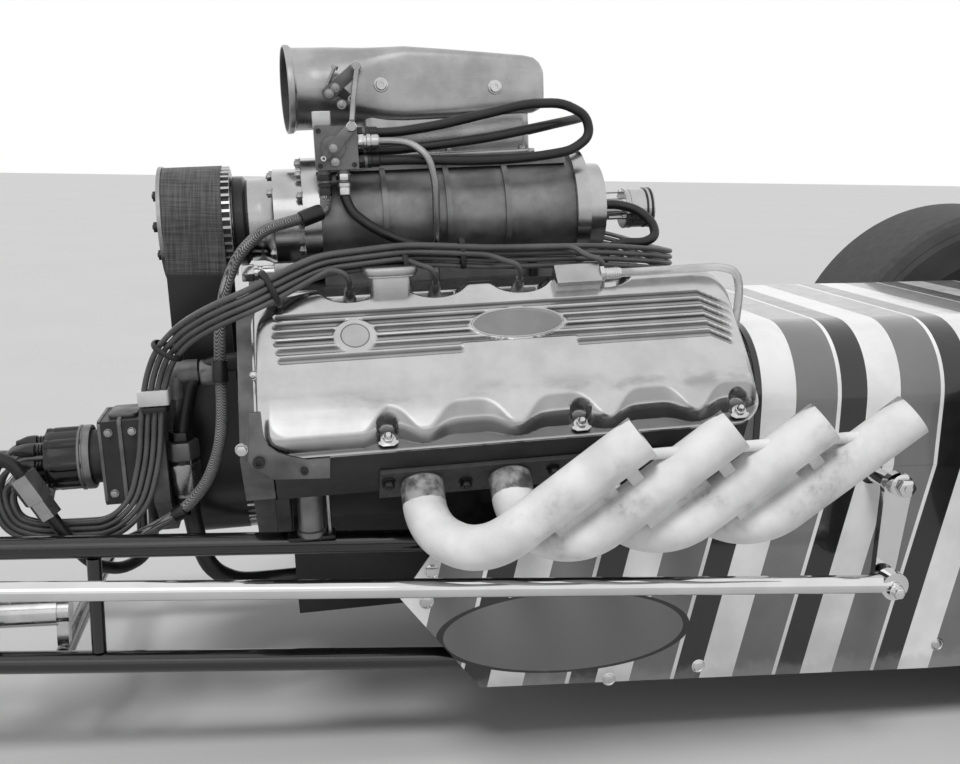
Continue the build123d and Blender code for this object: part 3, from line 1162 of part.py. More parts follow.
# Braided hose from the valve round the front of the engine to the fuel pump
BRAID_ROUTE = (
    (-95, -134, FEED_END), (-95, -134, 438), (-98, -152, 420), (-140, -166, 412), (-184, -178, 402),
    (-220, -194, 372),
    (-241, -210, 328), (-251, -222, 278), (-255, -230, 226), (-256, -236, 170), (-263, -237, 116),
    (-286, -228, 60),
    (-326, -210, 16), (-376, -194, -14), (-428, -184, -36), (-482, -164, -44), (-526, -120, -28),
    (-541, -62, 8),
    (-528, -8, 44), (-498, 14, 60), (-455 - FIT, 14, 60),
)
with BuildPart() as braided_hose:
    hose(BRAID_ROUTE, BRAID_DIAMETER)
save(braided_hose, "braided_hose")

# Clear vent hose from the box on the near cam cover to the front wall of the cowl
VENT_ROUTE = (
    (VENT_END + FIT, *bank(LEFT, VENT_S, VENT_T)), (330, *bank(LEFT, VENT_S, VENT_T)), (444, -265, 326),
    (470, -262, 318), (479, -254, 290), (478, -244, 240), (474, -236, 189.2), (500.1, -236, 187.8),
)
with BuildPart() as vent_hose:
    hose(VENT_ROUTE, VENT_HOSE)
save(vent_hose, "vent_hose")

# Ignition wires: from the magneto cap under it, up its near side in a stack two wide, then four to each bank
WIRE_DIAMETER = 7.6
WIRE_STEP = 8.9
CAP_FRONT = -508 - FIT
TOWER_RADIUS = 27
TOWER_TURNS = {LEFT: (247.5, 202.5, 157.5, 112.5), RIGHT: (292.5, 337.5, 22.5, 67.5)}
STACK = (
    (-560, -170, 40, -1, 0), (-553, -171, 14, -0.8, -0.6), (-528, -171, 4, -0.25, -1), (-478, -174, 2, 0, -1),
    (-428, -196, 8, 0.2, -1), (-394, -204, 40, 0.8, -0.6), (-376, -204, 98, 1, -0.1),
    (-368, -204.5, 158, 1, 0),
    (-358, -206, 208, 1, -0.15), (-338, -222, 252, 0.75, -0.65), (-302, -250, 288, 0.55, -0.85),
    (-256, -276, 314, 0.35, -0.95),
    (-204, -288, 334, 0.3, -0.95), (-158, -266, 353, 0.2, -1), (-112, -239, 368, 0, -1),
    (-60, -238, 372, 0, -1),
    (2, -233, 376, 0, -1), (60, -232, 372, 0, -1), (120, -231, 366, 0, -1), (180, -230, 364, 0, -1),
    (240, -228, 362, 0, -1),
)
ACROSS = (
    (300, -221, 358, 0, -1), (362, -206, 350, 0, -1), (412, -168, 340, 0, -1), (430, -90, 334, 0, -1),
    (432, 2, 332, 0, -1),
    (430, 90, 334, 0, -1), (412, 168, 340, 0, -1), (362, 206, 350, 0, -1), (300, 224, 358, 0, -1),
    (240, 229, 362, 0, -1),
    (150, 232, 368, 0, -1), (60, 230, 366, 0, -1), (-30, 235, 371, 0, -1),
)
RIGHT_BANK_FROM = len(STACK) + 8


def lane(run, column, row):
    """One wire's own line in the stack: column 0 or 1 across it, row 0 to 3 outwards."""
    places = [Vector(*place[:3]) for place in run]
    line = []
    for i, (*spot, out_x, out_z) in enumerate(run):
        run_in = places[i] - places[max(i - 1, 0)]
        run_out = places[min(i + 1, len(run) - 1)] - places[i]
        run_in = run_in.normalized() if i else run_out.normalized()
        run_out = run_out.normalized() if i < len(run) - 1 else run_in
        along = (run_in + run_out).normalized()
        out = Vector(out_x, 0, out_z)
        out = (out - along * out.dot(along)).normalized()
        line.append(places[i] + out * WIRE_STEP * row + out.cross(along) * WIRE_STEP * (column - 0.5))
    return line


with BuildPart() as ignition_wires:
    for side, side_name in SIDES:
        run = STACK if side == LEFT else STACK + ACROSS
        for row in range(PORTS):
            line = lane(run, 1 if side == LEFT else 0, row)
            port = PORTS - 1 - row if side == LEFT else row
            turn = radians(TOWER_TURNS[side][row])
            y, z = MAGNETO_Y + TOWER_RADIUS * cos(turn), MAGNETO_Z + TOWER_RADIUS * sin(turn)
            first = line[0]
            points = [(CAP_FRONT, y, z), (-524 - 9.4 * row, y, z)]
            points.append((first.X + (1 if row else 2),
                           0.42 * y + 0.58 * first.Y + (2 if side == RIGHT else 0),
                           0.55 * z + 0.45 * first.Z))
            plug_x = PLUG_START + port * PORT_PITCH
            leave = 60 if port == 0 else 34
            for i, place in enumerate(line):
                if side == LEFT and run[i][0] > plug_x - leave:
                    break
                if side == RIGHT and i >= RIGHT_BANK_FROM and run[i][0] < plug_x + 34:
                    break
                points.append(tuple(place))
            over = (-66, 430) if side == LEFT and port == 0 else (-70, 425)
            for back, s, t in ((24, *over), (7, -61, 427), (0, PLUG_S, 417), (0, PLUG_S, HEAD_TOP + FIT)):
                points.append((plug_x + side * back, *bank(side, s, t)))
            hose(points, WIRE_DIAMETER)
save(ignition_wires, "ignition_wires")

# Pressure cylinder on the lower cross tube beside the left rails
CYLINDER_X = (60, 190)
CYLINDER_Y = -190
CYLINDER_HEIGHT = 231
CYLINDER_DIAMETER = 45
CYLINDER_CAP = 36
with BuildPart() as pressure_cylinder:
    start, end = CYLINDER_X
    bar((start, CYLINDER_Y, CYLINDER_HEIGHT), (end, CYLINDER_Y, CYLINDER_HEIGHT), CYLINDER_DIAMETER)
    bar((end - 1, CYLINDER_Y, CYLINDER_HEIGHT), (end + 16, CYLINDER_Y, CYLINDER_HEIGHT), CYLINDER_CAP)
    cross_x = ENGINE_X - 500
    cross_rail = rail_spot("lower", LEFT, cross_x)[0]
    cross_top = cross_rail.Z + CROSS_DIAMETER / 2 + 2 * FIT
    block_between((cross_x - 8, CYLINDER_Y - 10, cross_top), (cross_x + 8, CYLINDER_Y + 10, CYLINDER_HEIGHT))
save(pressure_cylinder, "pressure_cylinder")
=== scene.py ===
"""Looks of a front-engined drag racing car of the 1960s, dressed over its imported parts.

Sizes are written in millimetres, in the numbers the part is drawn in, and become metres
when a piece is placed. The engine has its own frame: x runs back from the first exhaust
port, y to the right and z up from the crankshaft. A bank has x, s across the cover
(outwards and down) and t up through the cover.
"""

import logging
import math
from collections.abc import Iterator, Sequence
from contextlib import contextmanager
from dataclasses import dataclass, field
from enum import Enum
from functools import lru_cache

import bpy
import numpy as np
from mathutils import Matrix, Vector


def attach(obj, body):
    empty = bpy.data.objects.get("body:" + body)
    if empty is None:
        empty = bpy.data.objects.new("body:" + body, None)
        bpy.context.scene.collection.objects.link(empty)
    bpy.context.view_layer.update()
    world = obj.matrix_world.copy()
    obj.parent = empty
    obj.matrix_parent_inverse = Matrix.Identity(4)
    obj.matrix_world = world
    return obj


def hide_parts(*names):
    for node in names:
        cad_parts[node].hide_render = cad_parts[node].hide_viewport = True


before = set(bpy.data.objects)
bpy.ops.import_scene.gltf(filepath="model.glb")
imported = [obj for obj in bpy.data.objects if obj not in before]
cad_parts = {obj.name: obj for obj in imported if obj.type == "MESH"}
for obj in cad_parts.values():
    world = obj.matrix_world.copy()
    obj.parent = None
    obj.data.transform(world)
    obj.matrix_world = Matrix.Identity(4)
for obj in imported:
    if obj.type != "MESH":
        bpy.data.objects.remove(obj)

LOG = logging.getLogger("dragster")

CHASSIS = "chassis"
MILLIMETRE = 0.001
ENGINE_X = 695
CRANK_HEIGHT = 380
ENGINE_TILT = 3.15
PORT_PITCH = 117.6

Point = tuple[float, float, float]
Outline = list[tuple[float, float]]


class Side(Enum):
    """The car's two sides, as the sign of y."""

    LEFT = -1
    RIGHT = 1


def car_frame() -> Matrix:
    """The car's millimetres to metres."""
    return Matrix.Scale(MILLIMETRE, 4)


def engine_frame() -> Matrix:
    """The engine's millimetres to the car's metres."""
    turn = Matrix.Rotation(math.radians(-ENGINE_TILT), 4, "Y")
    return car_frame() @ Matrix.Translation((ENGINE_X, 0, CRANK_HEIGHT)) @ turn


def bank_frame(side: Side) -> Matrix:
    """A bank's x, s, t millimetres to the car's metres; the left one is mirrored."""
    half = math.sqrt(0.5)
    across = Vector((0, side.value * half, -half))
    up = Vector((0, side.value * half, half))
    turn = Matrix((Vector((1, 0, 0)), across, up)).transposed().to_4x4()
    return engine_frame() @ turn


def along(start: Sequence[float], end: Sequence[float]) -> Matrix:
    """A frame at start whose z axis points at end."""
    run = Vector(end) - Vector(start)
    turn = run.to_track_quat("Z", "Y").to_matrix().to_4x4()
    return Matrix.Translation(start) @ turn


def display_grey(value: float) -> tuple[float, float, float, float]:
    """A grey as it shows on screen, from 0 to 1, as a shader's linear colour."""
    linear = ((value + 0.055) / 1.055) ** 2.4 if value > 0.04 else value / 12.92
    return (linear, linear, linear, 1.0)


class Graph:
    """A material's nodes, put together with short calls."""

    def __init__(self, name: str) -> None:
        """Starts a material with one shader on its output."""
        self.material = bpy.data.materials.new(name)
        self.material.use_nodes = True
        self.nodes = self.material.node_tree.nodes
        self.links = self.material.node_tree.links
        self.shader = self.nodes["Principled BSDF"]

    def node(self, kind: str, inputs: dict[str | int, object], **settings: object) -> bpy.types.Node:
        """Adds a node.

        Args:
            kind: The node's type without its "ShaderNode".
            inputs: Socket name or number to a value, or to another node's output.
            settings: The node's own properties.

        Returns:
            The new node.
        """
        made = self.nodes.new("ShaderNode" + kind)
        for key, value in settings.items():
            setattr(made, key, value)
        for key, value in inputs.items():
            if isinstance(value, bpy.types.NodeSocket):
                self.links.new(value, made.inputs[key])
            else:
                made.inputs[key].default_value = value
        return made

    def place(self) -> bpy.types.NodeSocket:
        """The point on the piece, in the car's metres."""
        return self.node("TexCoord", {}).outputs["Object"]

    def axes(self) -> tuple[bpy.types.NodeSocket, bpy.types.NodeSocket, bpy.types.NodeSocket]:
        """The point's x, y and z."""
        split = self.node("SeparateXYZ", {0: self.place()})
        return split.outputs[0], split.outputs[1], split.outputs[2]

    def math(self, what: str, a: object, b: object = 0.0, c: object = 0.0) -> bpy.types.NodeSocket:
        """One sum on values or sockets."""
        return self.node("Math", {0: a, 1: b, 2: c}, operation=what).outputs[0]

    def blend(self, a: object, share_a: float, b: object, share_b: float) -> bpy.types.NodeSocket:
        """The sum of two sockets, each times its share."""
        return self.math("MULTIPLY_ADD", a, share_a, self.math("MULTIPLY", b, share_b))

    def bank(self) -> tuple[bpy.types.NodeSocket, bpy.types.NodeSocket, bpy.types.NodeSocket]:
        """The point's x, s and t in a bank's millimetres, the same on both sides."""
        x, y, z = self.axes()
        run = self.math("MULTIPLY_ADD", x, 1 / MILLIMETRE, -ENGINE_X)
        rise = self.math("MULTIPLY_ADD", z, 1 / MILLIMETRE, -CRANK_HEIGHT)
        cos, sin = math.cos(math.radians(ENGINE_TILT)), math.sin(math.radians(ENGINE_TILT))
        level = self.blend(run, -sin, rise, cos)
        out = self.math("MULTIPLY", self.math("ABSOLUTE", y), 1 / MILLIMETRE)
        half = math.sqrt(0.5)
        return self.blend(run, cos, rise, sin), self.blend(out, half, level, -half), self.blend(out, half, level, half)

    def ellipse(self, x: object, y: object, middle: tuple[float, float], radii: tuple[float, float]) -> bpy.types.NodeSocket:
        """One on an ellipse's line, less inside it."""
        wide = self.math("DIVIDE", self.math("SUBTRACT", x, middle[0]), radii[0])
        tall = self.math("DIVIDE", self.math("SUBTRACT", y, middle[1]), radii[1])
        square = self.math("MULTIPLY", tall, tall)
        return self.math("SQRT", self.math("MULTIPLY_ADD", wide, wide, square))

    def ramp(self, value: object, low: float, high: float, first: float = 0.0, last: float = 1.0) -> bpy.types.NodeSocket:
        """Goes smoothly from first to last while value goes from low to high."""
        inputs = {"Value": value, "From Min": low, "From Max": high, "To Min": first, "To Max": last}
        return self.node("MapRange", inputs, interpolation_type="SMOOTHSTEP").outputs[0]

    def noise(self, scale: float, detail: float = 3.0, stretch: Point = (1, 1, 1), roughness: float = 0.55) -> bpy.types.NodeSocket:
        """Cloudy values about 0.5, scale clouds to the metre, drawn out by stretch."""
        moved = self.node("Mapping", {"Vector": self.place(), "Scale": stretch}).outputs[0]
        inputs = {"Vector": moved, "Scale": scale, "Detail": detail, "Roughness": roughness}
        return self.node("TexNoise", inputs).outputs["Fac"]

    def attribute(self, name: str) -> bpy.types.NodeSocket:
        """A number kept with the piece's points."""
        return self.node("Attribute", {}, attribute_name=name).outputs["Fac"]

    def shade(self, share: object, first: object, second: object) -> bpy.types.NodeSocket:
        """Mixes two colours, given as screen greys or sockets, by share."""
        made = self.nodes.new("ShaderNodeMix")
        made.data_type = "RGBA"
        for socket, value in ((made.inputs[0], share), (made.inputs[6], first), (made.inputs[7], second)):
            if isinstance(value, bpy.types.NodeSocket):
                self.links.new(value, socket)
            elif socket == made.inputs[0]:
                socket.default_value = value
            else:
                socket.default_value = display_grey(value)
        return made.outputs[2]

    def bump(self, height: object, depth: float) -> None:
        """Raises the surface by height, of up to depth metres, on top of the bump so far."""
        inputs = {"Height": height, "Distance": depth, "Strength": 1.0}
        if self.shader.inputs["Normal"].is_linked:
            inputs["Normal"] = self.shader.inputs["Normal"].links[0].from_socket
        self.set("Normal", self.node("Bump", inputs).outputs[0])

    def set(self, socket: str, value: object) -> None:
        """Gives the shader a value or a link."""
        if isinstance(value, bpy.types.NodeSocket):
            self.links.new(value, self.shader.inputs[socket])
        else:
            self.shader.inputs[socket].default_value = value


@dataclass(frozen=True)
class Finish:
    """A surface: its grey, gloss, patches and grain. Subclasses add what one part shows."""

    name: str
    grey: float
    metallic: float = 0.0
    roughness: float = 0.4
    spread: float = 0.1
    mottle: float = 0.06
    patch: float = 0.06
    grain: float = 0.0
    grain_size: float = 0.0015
    brush: Point = (1, 1, 1)
    coat: float = 0.0
    specular: float = 0.5

    def start(self) -> Graph:
        """The plain look: patchy colour and gloss over a fine grain."""
        graph = Graph(self.name)
        patches = graph.noise(1 / self.patch, 4)
        graph.set("Base Color", self.tone(graph, patches, self.grey))
        graph.set("Metallic", self.metallic)
        rough = graph.noise(2.3 / self.patch, 5, self.brush)
        low = max(self.roughness - self.spread, 0.02)
        graph.set("Roughness", graph.ramp(rough, 0.3, 0.7, low, self.roughness + self.spread))
        if self.coat:
            graph.set("Coat Weight", self.coat)
            graph.set("Coat Roughness", 0.05)
        graph.set("Specular IOR Level", self.specular)
        if self.grain:
            graph.bump(graph.noise(1 / self.grain_size, 3, self.brush), self.grain)
        return graph

    def tone(self, graph: Graph, patches: bpy.types.NodeSocket, grey: float) -> bpy.types.NodeSocket:
        """A grey that wanders with the patches."""
        share = graph.ramp(patches, 0.3, 0.7)
        return graph.shade(share, grey * (1 - self.mottle), min(grey * (1 + self.mottle), 1))

    def detail(self, graph: Graph) -> None:
        """What a finish adds to the plain look."""

    def material(self) -> bpy.types.Material:
        """The finish as a material, made once."""
        return made_material(self)


@lru_cache(maxsize=None)
def made_material(finish: Finish) -> bpy.types.Material:
    """Makes a finish's material the first time it is asked for."""
    graph = finish.start()
    finish.detail(graph)
    return graph.material


@dataclass(frozen=True)
class CoverSkin(Finish):
    """Polished casting, left as cast in its grooves and in its plain oval and ring, with painted shade, a painted dark
    reflection and a painted highlight line where its points mark them.
    """

    cast_and_shade_grey: float = 0.13
    boss: tuple[float, float, float] = (-73, 26, 18.5)
    oval: tuple[float, float, float, float] = (145.5, 21, 63.5, 25)
    rim: float = 3.0

    def detail(self, graph: Graph) -> None:
        """Darkens what the cover's marks ask for, the oval and the ring, and dulls the low band under a painted dark
        reflection.
        """
        x, s, _ = graph.bank()
        # The points' marks carry cast tone, painted shade and dark reflection, and a painted highlight line.
        cast_and_painted_shade = graph.attribute("cast_and_painted_shade")
        # Painted dark reflection: wavy blotches darken the low band.
        painted_dark_reflection = graph.ramp(graph.noise(19, 4, (0.4, 1, 1)), 0.47, 0.60)
        low = graph.math("MULTIPLY", graph.ramp(s, 100, 128), graph.ramp(s, 150, 128))
        cast_and_painted_shade = graph.math("MAXIMUM", cast_and_painted_shade, graph.math("MULTIPLY", graph.math("MULTIPLY", painted_dark_reflection, low), 0.30))
        cx, cs, rx, rs = self.oval
        outer = graph.ellipse(x, s, (cx, cs), (rx, rs))
        inner = graph.ellipse(x, s, (cx, cs), (rx - self.rim, rs - self.rim))
        dish = graph.ramp(inner, 0.985, 1.015, 1, 0)
        rim = graph.math("MULTIPLY", graph.ramp(outer, 0.985, 1.015, 1, 0), graph.math("SUBTRACT", 1.0, dish))
        bx, bs, radius = self.boss
        away = graph.ellipse(x, s, (bx, bs), (1, 1))
        ring = graph.ramp(graph.math("ABSOLUTE", graph.math("SUBTRACT", away, radius)), 0.3, 1.2, 1, 0)
        disc = graph.ramp(away, radius - 1, radius, 0.16, 0)
        cast_and_painted_shade = graph.math("MAXIMUM", cast_and_painted_shade, graph.math("MULTIPLY", dish, 0.55))
        cast_and_painted_shade = graph.math("MAXIMUM", cast_and_painted_shade, graph.math("MULTIPLY", ring, 0.6))
        cast_and_painted_shade = graph.math("MAXIMUM", cast_and_painted_shade, disc)
        cast_and_painted_shade = graph.math("MULTIPLY", cast_and_painted_shade, graph.math("SUBTRACT", 1.0, rim))
        base = graph.shader.inputs["Base Color"].links[0].from_socket
        graph.set("Base Color", graph.shade(cast_and_painted_shade, base, self.cast_and_shade_grey))
        polish = graph.shader.inputs["Roughness"].links[0].from_socket
        graph.set("Roughness", graph.math("MULTIPLY_ADD", cast_and_painted_shade, 0.25, polish))


@dataclass(frozen=True)
class StripedPaint(Finish):
    """White body paint with pairs of dark and grey stripes and a plain oval on the side."""

    stripe_start: float = 1.298
    stripe_pitch: float = 0.1615
    lean: float = 0.21
    seam: float = 0.440
    oval: tuple[float, float, float, float] = (0.907, 0.206, 0.178, 0.060)

    def detail(self, graph: Graph) -> None:
        """Paints the stripes by x and z, and the oval over them."""
        x, y, z = graph.axes()
        below = graph.math("SUBTRACT", graph.math("MINIMUM", z, self.seam), self.seam)
        slanted = graph.math("SUBTRACT", x, graph.math("MULTIPLY", below, self.lean))
        turns = graph.math("DIVIDE", graph.math("SUBTRACT", slanted, self.stripe_start), self.stripe_pitch)
        share = graph.math("FRACT", turns)
        dark = self.between(graph, share, 0.037, 0.285)
        grey = graph.math("GREATER_THAN", share, 0.607)
        white = graph.shader.inputs["Base Color"].links[0].from_socket
        cloud = graph.noise(9, 3)
        silver = graph.shade(cloud, 0.36, 0.50)
        paint = graph.shade(dark, graph.shade(grey, white, silver), 0.07)
        cx, cz, rx, rz = self.oval
        wide = graph.math("POWER", graph.math("DIVIDE", graph.math("SUBTRACT", x, cx), rx), 2.0)
        tall = graph.math("POWER", graph.math("DIVIDE", graph.math("SUBTRACT", z, cz), rz), 2.0)
        ring = graph.math("ADD", wide, tall)
        paint = graph.shade(graph.math("LESS_THAN", ring, 1.12), paint, 0.05)
        paint = graph.shade(graph.math("LESS_THAN", ring, 1.0), paint, 0.42)
        # Greyer towards the bottom edge of the panels.
        lower_edge_grey = graph.ramp(graph.math("ADD", z, graph.math("MULTIPLY", graph.noise(40, 5), 0.05)), 0.14, 0.18)
        graph.set("Base Color", graph.shade(graph.ramp(lower_edge_grey, 0, 1, 0.35, 0), paint, 0.62))

    @staticmethod
    def between(graph: Graph, value: bpy.types.NodeSocket, low: float, high: float) -> bpy.types.NodeSocket:
        """One where value lies from low to high."""
        above = graph.math("GREATER_THAN", value, low)
        return graph.math("MULTIPLY", above, graph.math("LESS_THAN", value, high))


@dataclass(frozen=True)
class StainedPipe(Finish):
    """Off-white pipe coating with soot, stubs darkened by soot and painted shade, and a bare flange at the ports."""

    flange: float = 198
    stub: float = 226

    def detail(self, graph: Graph) -> None:
        """Adds brown-grey stains, darkens the stubs by the ports with soot and painted shade, and bares the flange."""
        base = graph.shader.inputs["Base Color"].links[0].from_socket
        stain = graph.ramp(graph.noise(14, 6), 0.50, 0.72)
        fine = graph.ramp(graph.noise(120, 4), 0.45, 0.75)
        marks = graph.math("MULTIPLY", stain, graph.math("ADD", 0.35, graph.math("MULTIPLY", fine, 0.4)))
        paint = graph.shade(marks, base, 0.45)
        _, s, _ = graph.bank()
        # Soot and painted shade darken the stubs next to the flange.
        edge = graph.math("MULTIPLY_ADD", graph.noise(45, 2), 8.0, self.stub)
        soot_and_painted_shade = graph.ramp(graph.math("SUBTRACT", s, edge), -1, 1, 1, 0)
        paint = graph.shade(soot_and_painted_shade, paint, graph.shade(graph.ramp(graph.noise(55, 5), 0.35, 0.65), 0.30, 0.62))
        flange = graph.ramp(s, self.flange - 0.5, self.flange + 0.5, 1, 0)
        graph.set("Base Color", graph.shade(flange, paint, graph.shade(graph.noise(90, 5), 0.25, 0.42)))
        graph.set("Metallic", graph.math("MULTIPLY", flange, 0.7))


@dataclass(frozen=True)
class TyreRubber(Finish):
    """Tyre rubber: dull tread, shinier wall with a line near the shoulder."""

    axle: tuple[float, float] = (2.065, 0.39)
    radius: float = 0.39

    def detail(self, graph: Graph) -> None:
        """Tells tread from wall by the distance to the axle."""
        x, y, z = graph.axes()
        dx = graph.math("SUBTRACT", x, self.axle[0])
        dz = graph.math("SUBTRACT", z, self.axle[1])
        out = graph.math("SQRT", graph.math("ADD", graph.math("MULTIPLY", dx, dx), graph.math("MULTIPLY", dz, dz)))
        tread = graph.ramp(out, self.radius * 0.955, self.radius * 0.985)
        rough = graph.ramp(tread, 0, 1, 0.42, 0.8)
        graph.set("Roughness", rough)
        base = graph.shader.inputs["Base Color"].links[0].from_socket
        graph.set("Base Color", graph.shade(tread, base, graph.shade(graph.noise(60, 5), 0.22, 0.33)))
        line = graph.math("ABSOLUTE", graph.math("SUBTRACT", out, self.radius * 0.93))
        graph.bump(graph.ramp(line, 0.0, 0.0012, 1, 0), 0.0008)


@dataclass(frozen=True)
class BeltRubber(Finish):
    """Belt backing: streaky and lighter round the top pulley, where light is painted on, smooth and darker on the runs.
    """

    pulley_foot: float = 0.700

    def detail(self, graph: Graph) -> None:
        """Paints light onto the stretch round the top pulley and draws fine lines along and across the belt."""
        x, y, z = graph.axes()
        # Painted light: the stretch over the top pulley is lighter than the runs.
        painted_top_light = graph.ramp(z, self.pulley_foot - 0.006, self.pulley_foot + 0.004)
        along_belt = graph.ramp(graph.noise(60, 2, (7, 0.3, 0.3)), 0.35, 0.65)
        across = graph.ramp(graph.noise(60, 4, (0.3, 3, 9)), 0.35, 0.65)
        streaks = graph.math("MULTIPLY", graph.math("ADD", along_belt, across), 0.5)
        base = graph.shader.inputs["Base Color"].links[0].from_socket
        graph.set("Base Color", graph.shade(painted_top_light, base, graph.shade(streaks, 0.14, 0.36)))
        graph.set("Roughness", graph.ramp(painted_top_light, 0, 1, 0.28, 0.5))
        graph.bump(graph.math("MULTIPLY", streaks, painted_top_light), 0.0004)


@dataclass(frozen=True)
class ClearTube(Finish):
    """Milky clear plastic tube."""

    def detail(self, graph: Graph) -> None:
        """Lets light through."""
        graph.set("Transmission Weight", 0.55)
        graph.set("IOR", 1.35)
        graph.set("Alpha", 0.9)


@dataclass(frozen=True)
class Braid(Finish):
    """A woven cover over a hose: pale flecks between dark strands."""

    strands: float = 255

    def detail(self, graph: Graph) -> None:
        """Weaves the flecks from two crossing sets of bands."""
        waves = []
        for slope in (1, -1):
            turn = (0, slope * math.radians(38), slope * math.radians(52))
            turned = graph.node("Mapping", {"Vector": graph.place(), "Rotation": turn}).outputs[0]
            wave = graph.node("TexWave", {"Vector": turned, "Scale": self.strands}, wave_type="BANDS")
            waves.append(wave.outputs["Fac"])
        fleck = graph.ramp(graph.math("MULTIPLY", *waves), 0.18, 0.42)
        base = graph.shader.inputs["Base Color"].links[0].from_socket
        graph.set("Base Color", graph.shade(fleck, 0.18, base))
        graph.bump(fleck, 0.0005)


@dataclass(frozen=True)
class Canvas(Finish):
    """Woven canvas with a weft and a warp."""

    thread: float = 0.0009

    def detail(self, graph: Graph) -> None:
        """Bumps the threads along y and z and fades the cloth in patches."""
        x, y, z = graph.axes()
        rate = math.tau / self.thread
        warp = graph.math("SINE", graph.math("MULTIPLY", y, rate))
        weft = graph.math("SINE", graph.math("MULTIPLY", z, rate))
        graph.bump(graph.math("MULTIPLY", warp, weft), 0.0003)
        graph.set("Sheen Weight", 0.3)


FRAME_BLACK = Finish("gloss_black_paint", 0.07, roughness=0.22, spread=0.06, coat=0.6)
CHROME = Finish("chrome", 0.86, metallic=1, roughness=0.08, spread=0.04, mottle=0.02)
POLISHED = Finish("polished_alloy", 0.72, metallic=1, roughness=0.2, spread=0.09, mottle=0.05,
                  grain=0.00002, brush=(0.15, 1, 1))
HAT_ALLOY = Finish("brushed_hat_alloy", 0.66, metallic=1, roughness=0.3, spread=0.08, mottle=0.08,
                   grain=0.00003, grain_size=0.0008, brush=(0.08, 1, 1))
CAST_ALLOY = Finish("cast_alloy", 0.56, metallic=0.85, roughness=0.48, mottle=0.12, grain=0.0002)
DULL_ALLOY = Finish("weathered_alloy", 0.42, metallic=0.8, roughness=0.5, mottle=0.16, grain=0.00015)
STEEL = Finish("bare_steel", 0.62, metallic=1, roughness=0.3, mottle=0.1)
BRIGHT_STEEL = Finish("bright_fittings", 0.80, metallic=1, roughness=0.2, mottle=0.06)
DARK_FITTING = Finish("dark_fittings", 0.22, metallic=0.7, roughness=0.35, mottle=0.1)
DARK_CAST = Finish("dark_casting", 0.17, metallic=0.3, roughness=0.5, mottle=0.15, grain=0.0002)
BLOCK_PAINT = Finish("block_paint", 0.11, roughness=0.4, mottle=0.15, grain=0.0002)
CASE_ALLOY = Finish("blower_casing", 0.50, metallic=0.8, roughness=0.42, mottle=0.12, grain=0.00012)
HOSE = Finish("hose_rubber", 0.09, roughness=0.38, mottle=0.2, grain=0.0001)
BELT = BeltRubber("belt_rubber", 0.09, roughness=0.3, mottle=0.15)
WIRE = Finish("wire_jacket", 0.30, roughness=0.34, mottle=0.12)
BLACK_PLASTIC = Finish("black_plastic", 0.07, roughness=0.2, mottle=0.2)
PALE_PLASTIC = Finish("pale_porcelain", 0.78, roughness=0.35)
PIPE_WHITE = StainedPipe("stained_white_coating", 0.86, roughness=0.55, mottle=0.05, grain=0.00008)
BODY_PAINT = StripedPaint("striped_body_paint", 0.90, roughness=0.22, spread=0.05, mottle=0.03, coat=0.7)
SLICK = TyreRubber("slick_rubber", 0.20, roughness=0.45, mottle=0.12)
FRONT_TYRE = TyreRubber("front_tyre_rubber", 0.15, roughness=0.5, axle=(-2.635, 0.31), radius=0.31)
# Painted shade: the dark, duller metal inside the scoop's mouth.
HAT_INSIDE_SHADE = Finish("hat_inside_painted_shade", 0.24, metallic=0.6, roughness=0.5)
CLEAR = ClearTube("milky_tube", 0.86, roughness=0.15)
BRAID = Braid("woven_hose_cover", 0.66, roughness=0.35, mottle=0.15)
CANVAS = Canvas("pack_canvas_cloth", 0.62, roughness=0.85, mottle=0.1)
COVER_SKIN = CoverSkin("polished_cover", 0.77, metallic=1, roughness=0.19, spread=0.06, mottle=0.04,
                       grain=0.00002, brush=(0.2, 1, 1))
MAGNESIUM = Finish("wheel_magnesium", 0.60, metallic=0.9, roughness=0.35, mottle=0.08, grain=0.00008)
SEAT_VINYL = Finish("seat_vinyl", 0.13, roughness=0.45, mottle=0.15, grain=0.0003, grain_size=0.004)
SEAT_SHELL = Finish("seat_shell_alloy", 0.55, metallic=0.9, roughness=0.4, mottle=0.1, grain=0.0001)

